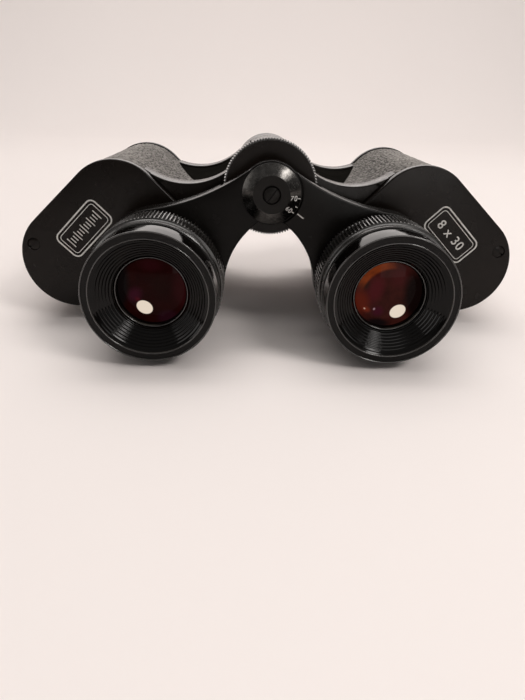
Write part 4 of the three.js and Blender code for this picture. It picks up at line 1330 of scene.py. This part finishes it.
def scale_marks():
    """Eye-distance scale on the cap's chamfer."""
    start, end = ends("scale_cap")
    outer = radius("scale_cap")
    rise = (end - CAP_EDGE - start) / (outer - CAP_FLAT)
    body = bmesh.new()

    def on_chamfer(angle, reach):
        def place(x, y, lift):
            r = reach + x
            turn = angle + y / reach
            at = start + (r - CAP_FLAT) * rise - lift
            return r * math.cos(turn), at, r * math.sin(turn)
        return place

    length, width = 0.7, 0.22
    corners = [(x * length / 2, y * width / 2) for x, y in ((-1, -1), (1, -1), (1, 1), (-1, 1))]
    for angle, mark in ((-7.7, "70"), (-25.5, ""), (-38.6, "60")):
        angle = math.radians(angle)
        raise_flat(body, corners, [(0, 1, 2, 3)], on_chamfer(angle, outer - length / 2 - 0.12))
        if mark:
            raise_flat(body, *lettering(mark, 1.25), on_chamfer(angle, CAP_FLAT + 1.3))
    build("scale_cap_numbers", body, marking, ride=BODY_OF["scale_cap"])


def index_line():
    """The line on the right arm that the scale is read against."""
    body = bmesh.new()
    line = [around(HINGE, ARM_RING + out, math.radians(-36)) for out in (0.5, 2.6)]
    stroke(body, line, 0.3, ARM_FRONT)
    build("right_arm_index_line", body, marking, ride=BODY_OF["right_bridge_arm"])


# ---- Everything in its place ----

PAIRED = (
    prism_housing, eyepiece_cover, objective_cover, leatherette, cover_screws, sleeve,
    objective_tube, objective_rim, objective_cell, objective_lens, lens_retainer, strap_lug,
    bridge_arm, barrel, ribbed_ring, eyecup, eye_lens, eye_lens_ring, badge,
)
SINGLE = (right_lens_tube, focus_wheel, spindle, scale_cap, front_hub, scale_marks, index_line)

for name in SIDE:
    for make in PAIRED:
        make(name)
for make in SINGLE:
    make()


def dress_cad_nodes():
    """Inner pieces keep their CAD shape and get the finished materials."""
    looks = {
        "spring": (spring_steel, "spring_steel"), "prism": (lens_glass, "glass"),
        "field_lens": (lens_glass, "glass"), "axle": (black_steel, "blackened_steel"),
    }
    for node, piece in frame["nodes"].items():
        if piece.hide_render:
            continue
        look, slot = looks[next((kind for kind in looks if node.endswith(kind)), "spring")]
        piece.data.materials.clear()
        piece.data.materials.append(look)


dress_cad_nodes()

# ---- Studio ----


def sweep():
    """Pale floor that curves up into a plain backdrop."""
    depth, half, height, bend = 1.1, 3.0, 2.4, 0.45
    floor = cad_box[0][2]
    line = [(-2.5, floor), (depth - bend, floor)]
    line += [(depth - bend + bend * math.sin(a), floor + bend * (1 - math.cos(a)))
             for a in (math.pi / 2 * k / 16 for k in range(1, 17))]
    line.append((depth, floor + height))
    mesh = bpy.data.meshes.new("backdrop")
    verts = [(x, y, z) for y, z in line for x in (-half, half)]
    faces = [(2 * i, 2 * i + 1, 2 * i + 3, 2 * i + 2) for i in range(len(line) - 1)]
    mesh.from_pydata(verts, [], faces)
    mesh.shade_smooth()
    piece = bpy.data.objects.new("backdrop", mesh)
    bpy.context.scene.collection.objects.link(piece)
    n = Nodes("backdrop_paper")
    tone = n.blend(n.noise(3, 3), (0.84, 0.785, 0.765), (0.86, 0.81, 0.79))
    n.set(Base_Color=tone, Roughness=0.9, Specular_IOR_Level=0.1)
    mesh.materials.append(n.material)


def lamp(name, place, target, size, watts, lights_all=True):
    """A soft panel hidden from the camera; one that doesn't light all shows in reflections only."""
    data = bpy.data.lights.new(name, "AREA")
    data.shape = "RECTANGLE"
    data.size, data.size_y = size
    data.energy = watts
    data.color = (1, 0.96, 0.93)
    light = bpy.data.objects.new(name, data)
    light.location = place
    light.rotation_euler = (Vector(target) - Vector(place)).to_track_quat("-Z", "Y").to_euler()
    light.visible_camera = False
    light.visible_diffuse = lights_all
    bpy.context.scene.collection.objects.link(light)


def studio():
    sweep()
    lamp("overhead", (0.0, 0.25, 1.1), (0, 0.1, 0), (1.3, 0.9), 5.8)
    lamp("backdrop_wash", (0.0, 0.35, 1.6), (0, 1.1, 0.6), (2.2, 0.4), 8)
    lamp("rear_softbox", (0.0, 0.95, 0.50), (0, 0, 0.03), (1.8, 0.5), 5, False)
    lamp("key_softbox", (0.50, -0.46, 0.62), (0, 0, 0.03), (0.30, 0.22), 3.1)
    lamp("left_panel", (-0.85, -0.2, 0.35), (0, 0, 0.03), (0.5, 0.6), 2.0, False)
    lamp("right_panel", (0.95, 0.0, 0.35), (0, 0, 0.03), (0.5, 0.6), 1.4, False)
    lamp("front_panel", (0.17, -0.5, 0.10), (0.05, 0, 0.04), (0.22, 0.18), 0.28, False)
    world = bpy.data.worlds.new("studio")
    world.use_nodes = True
    tree = world.node_tree
    background = tree.nodes["Background"]
    ramp = tree.nodes.new("ShaderNodeValToRGB")
    for element, (at, tone) in zip(ramp.color_ramp.elements, [(0.5, 0.12), (0.85, 0.75)]):
        element.position = at
        element.color = (tone, tone * 0.965, tone * 0.94, 1)
    height = tree.nodes.new("ShaderNodeSeparateXYZ")
    share = tree.nodes.new("ShaderNodeMapRange")
    share.inputs["From Min"].default_value = -1
    tree.links.new(tree.nodes.new("ShaderNodeTexCoord").outputs["Generated"], height.inputs[0])
    tree.links.new(height.outputs["Z"], share.inputs["Value"])
    tree.links.new(share.outputs["Result"], ramp.inputs["Fac"])
    tree.links.new(ramp.outputs["Color"], background.inputs["Color"])
    background.inputs["Strength"].default_value = 0.5
    bpy.context.scene.world = world
    bpy.context.scene.view_settings.view_transform = "Standard"

# found by laying the frame over the photo: metres, degrees and millimetres
CAMERA_PLACE = Vector((-0.00516, -0.18317, 0.06593))
CAMERA_PITCH, CAMERA_YAW, CAMERA_ROLL = (math.radians(v) for v in (25.66, -1.46, 1.34))
CAMERA_LENS, CAMERA_SENSOR = 27.57, 36.0


def camera():
    data = bpy.data.cameras.new("camera")
    data.sensor_fit = "AUTO"
    data.sensor_width = CAMERA_SENSOR
    data.lens = CAMERA_LENS
    data.clip_start = 0.01
    holder = bpy.data.objects.new("camera", data)
    holder.matrix_world = (
        Matrix.Translation(CAMERA_PLACE)
        @ Matrix.Rotation(CAMERA_YAW, 4, "Z")
        @ Matrix.Rotation(math.pi / 2 - CAMERA_PITCH, 4, "X")
        @ Matrix.Rotation(CAMERA_ROLL, 4, "Z")
    )
    bpy.context.scene.collection.objects.link(holder)
    bpy.context.scene.camera = holder


studio()
camera()
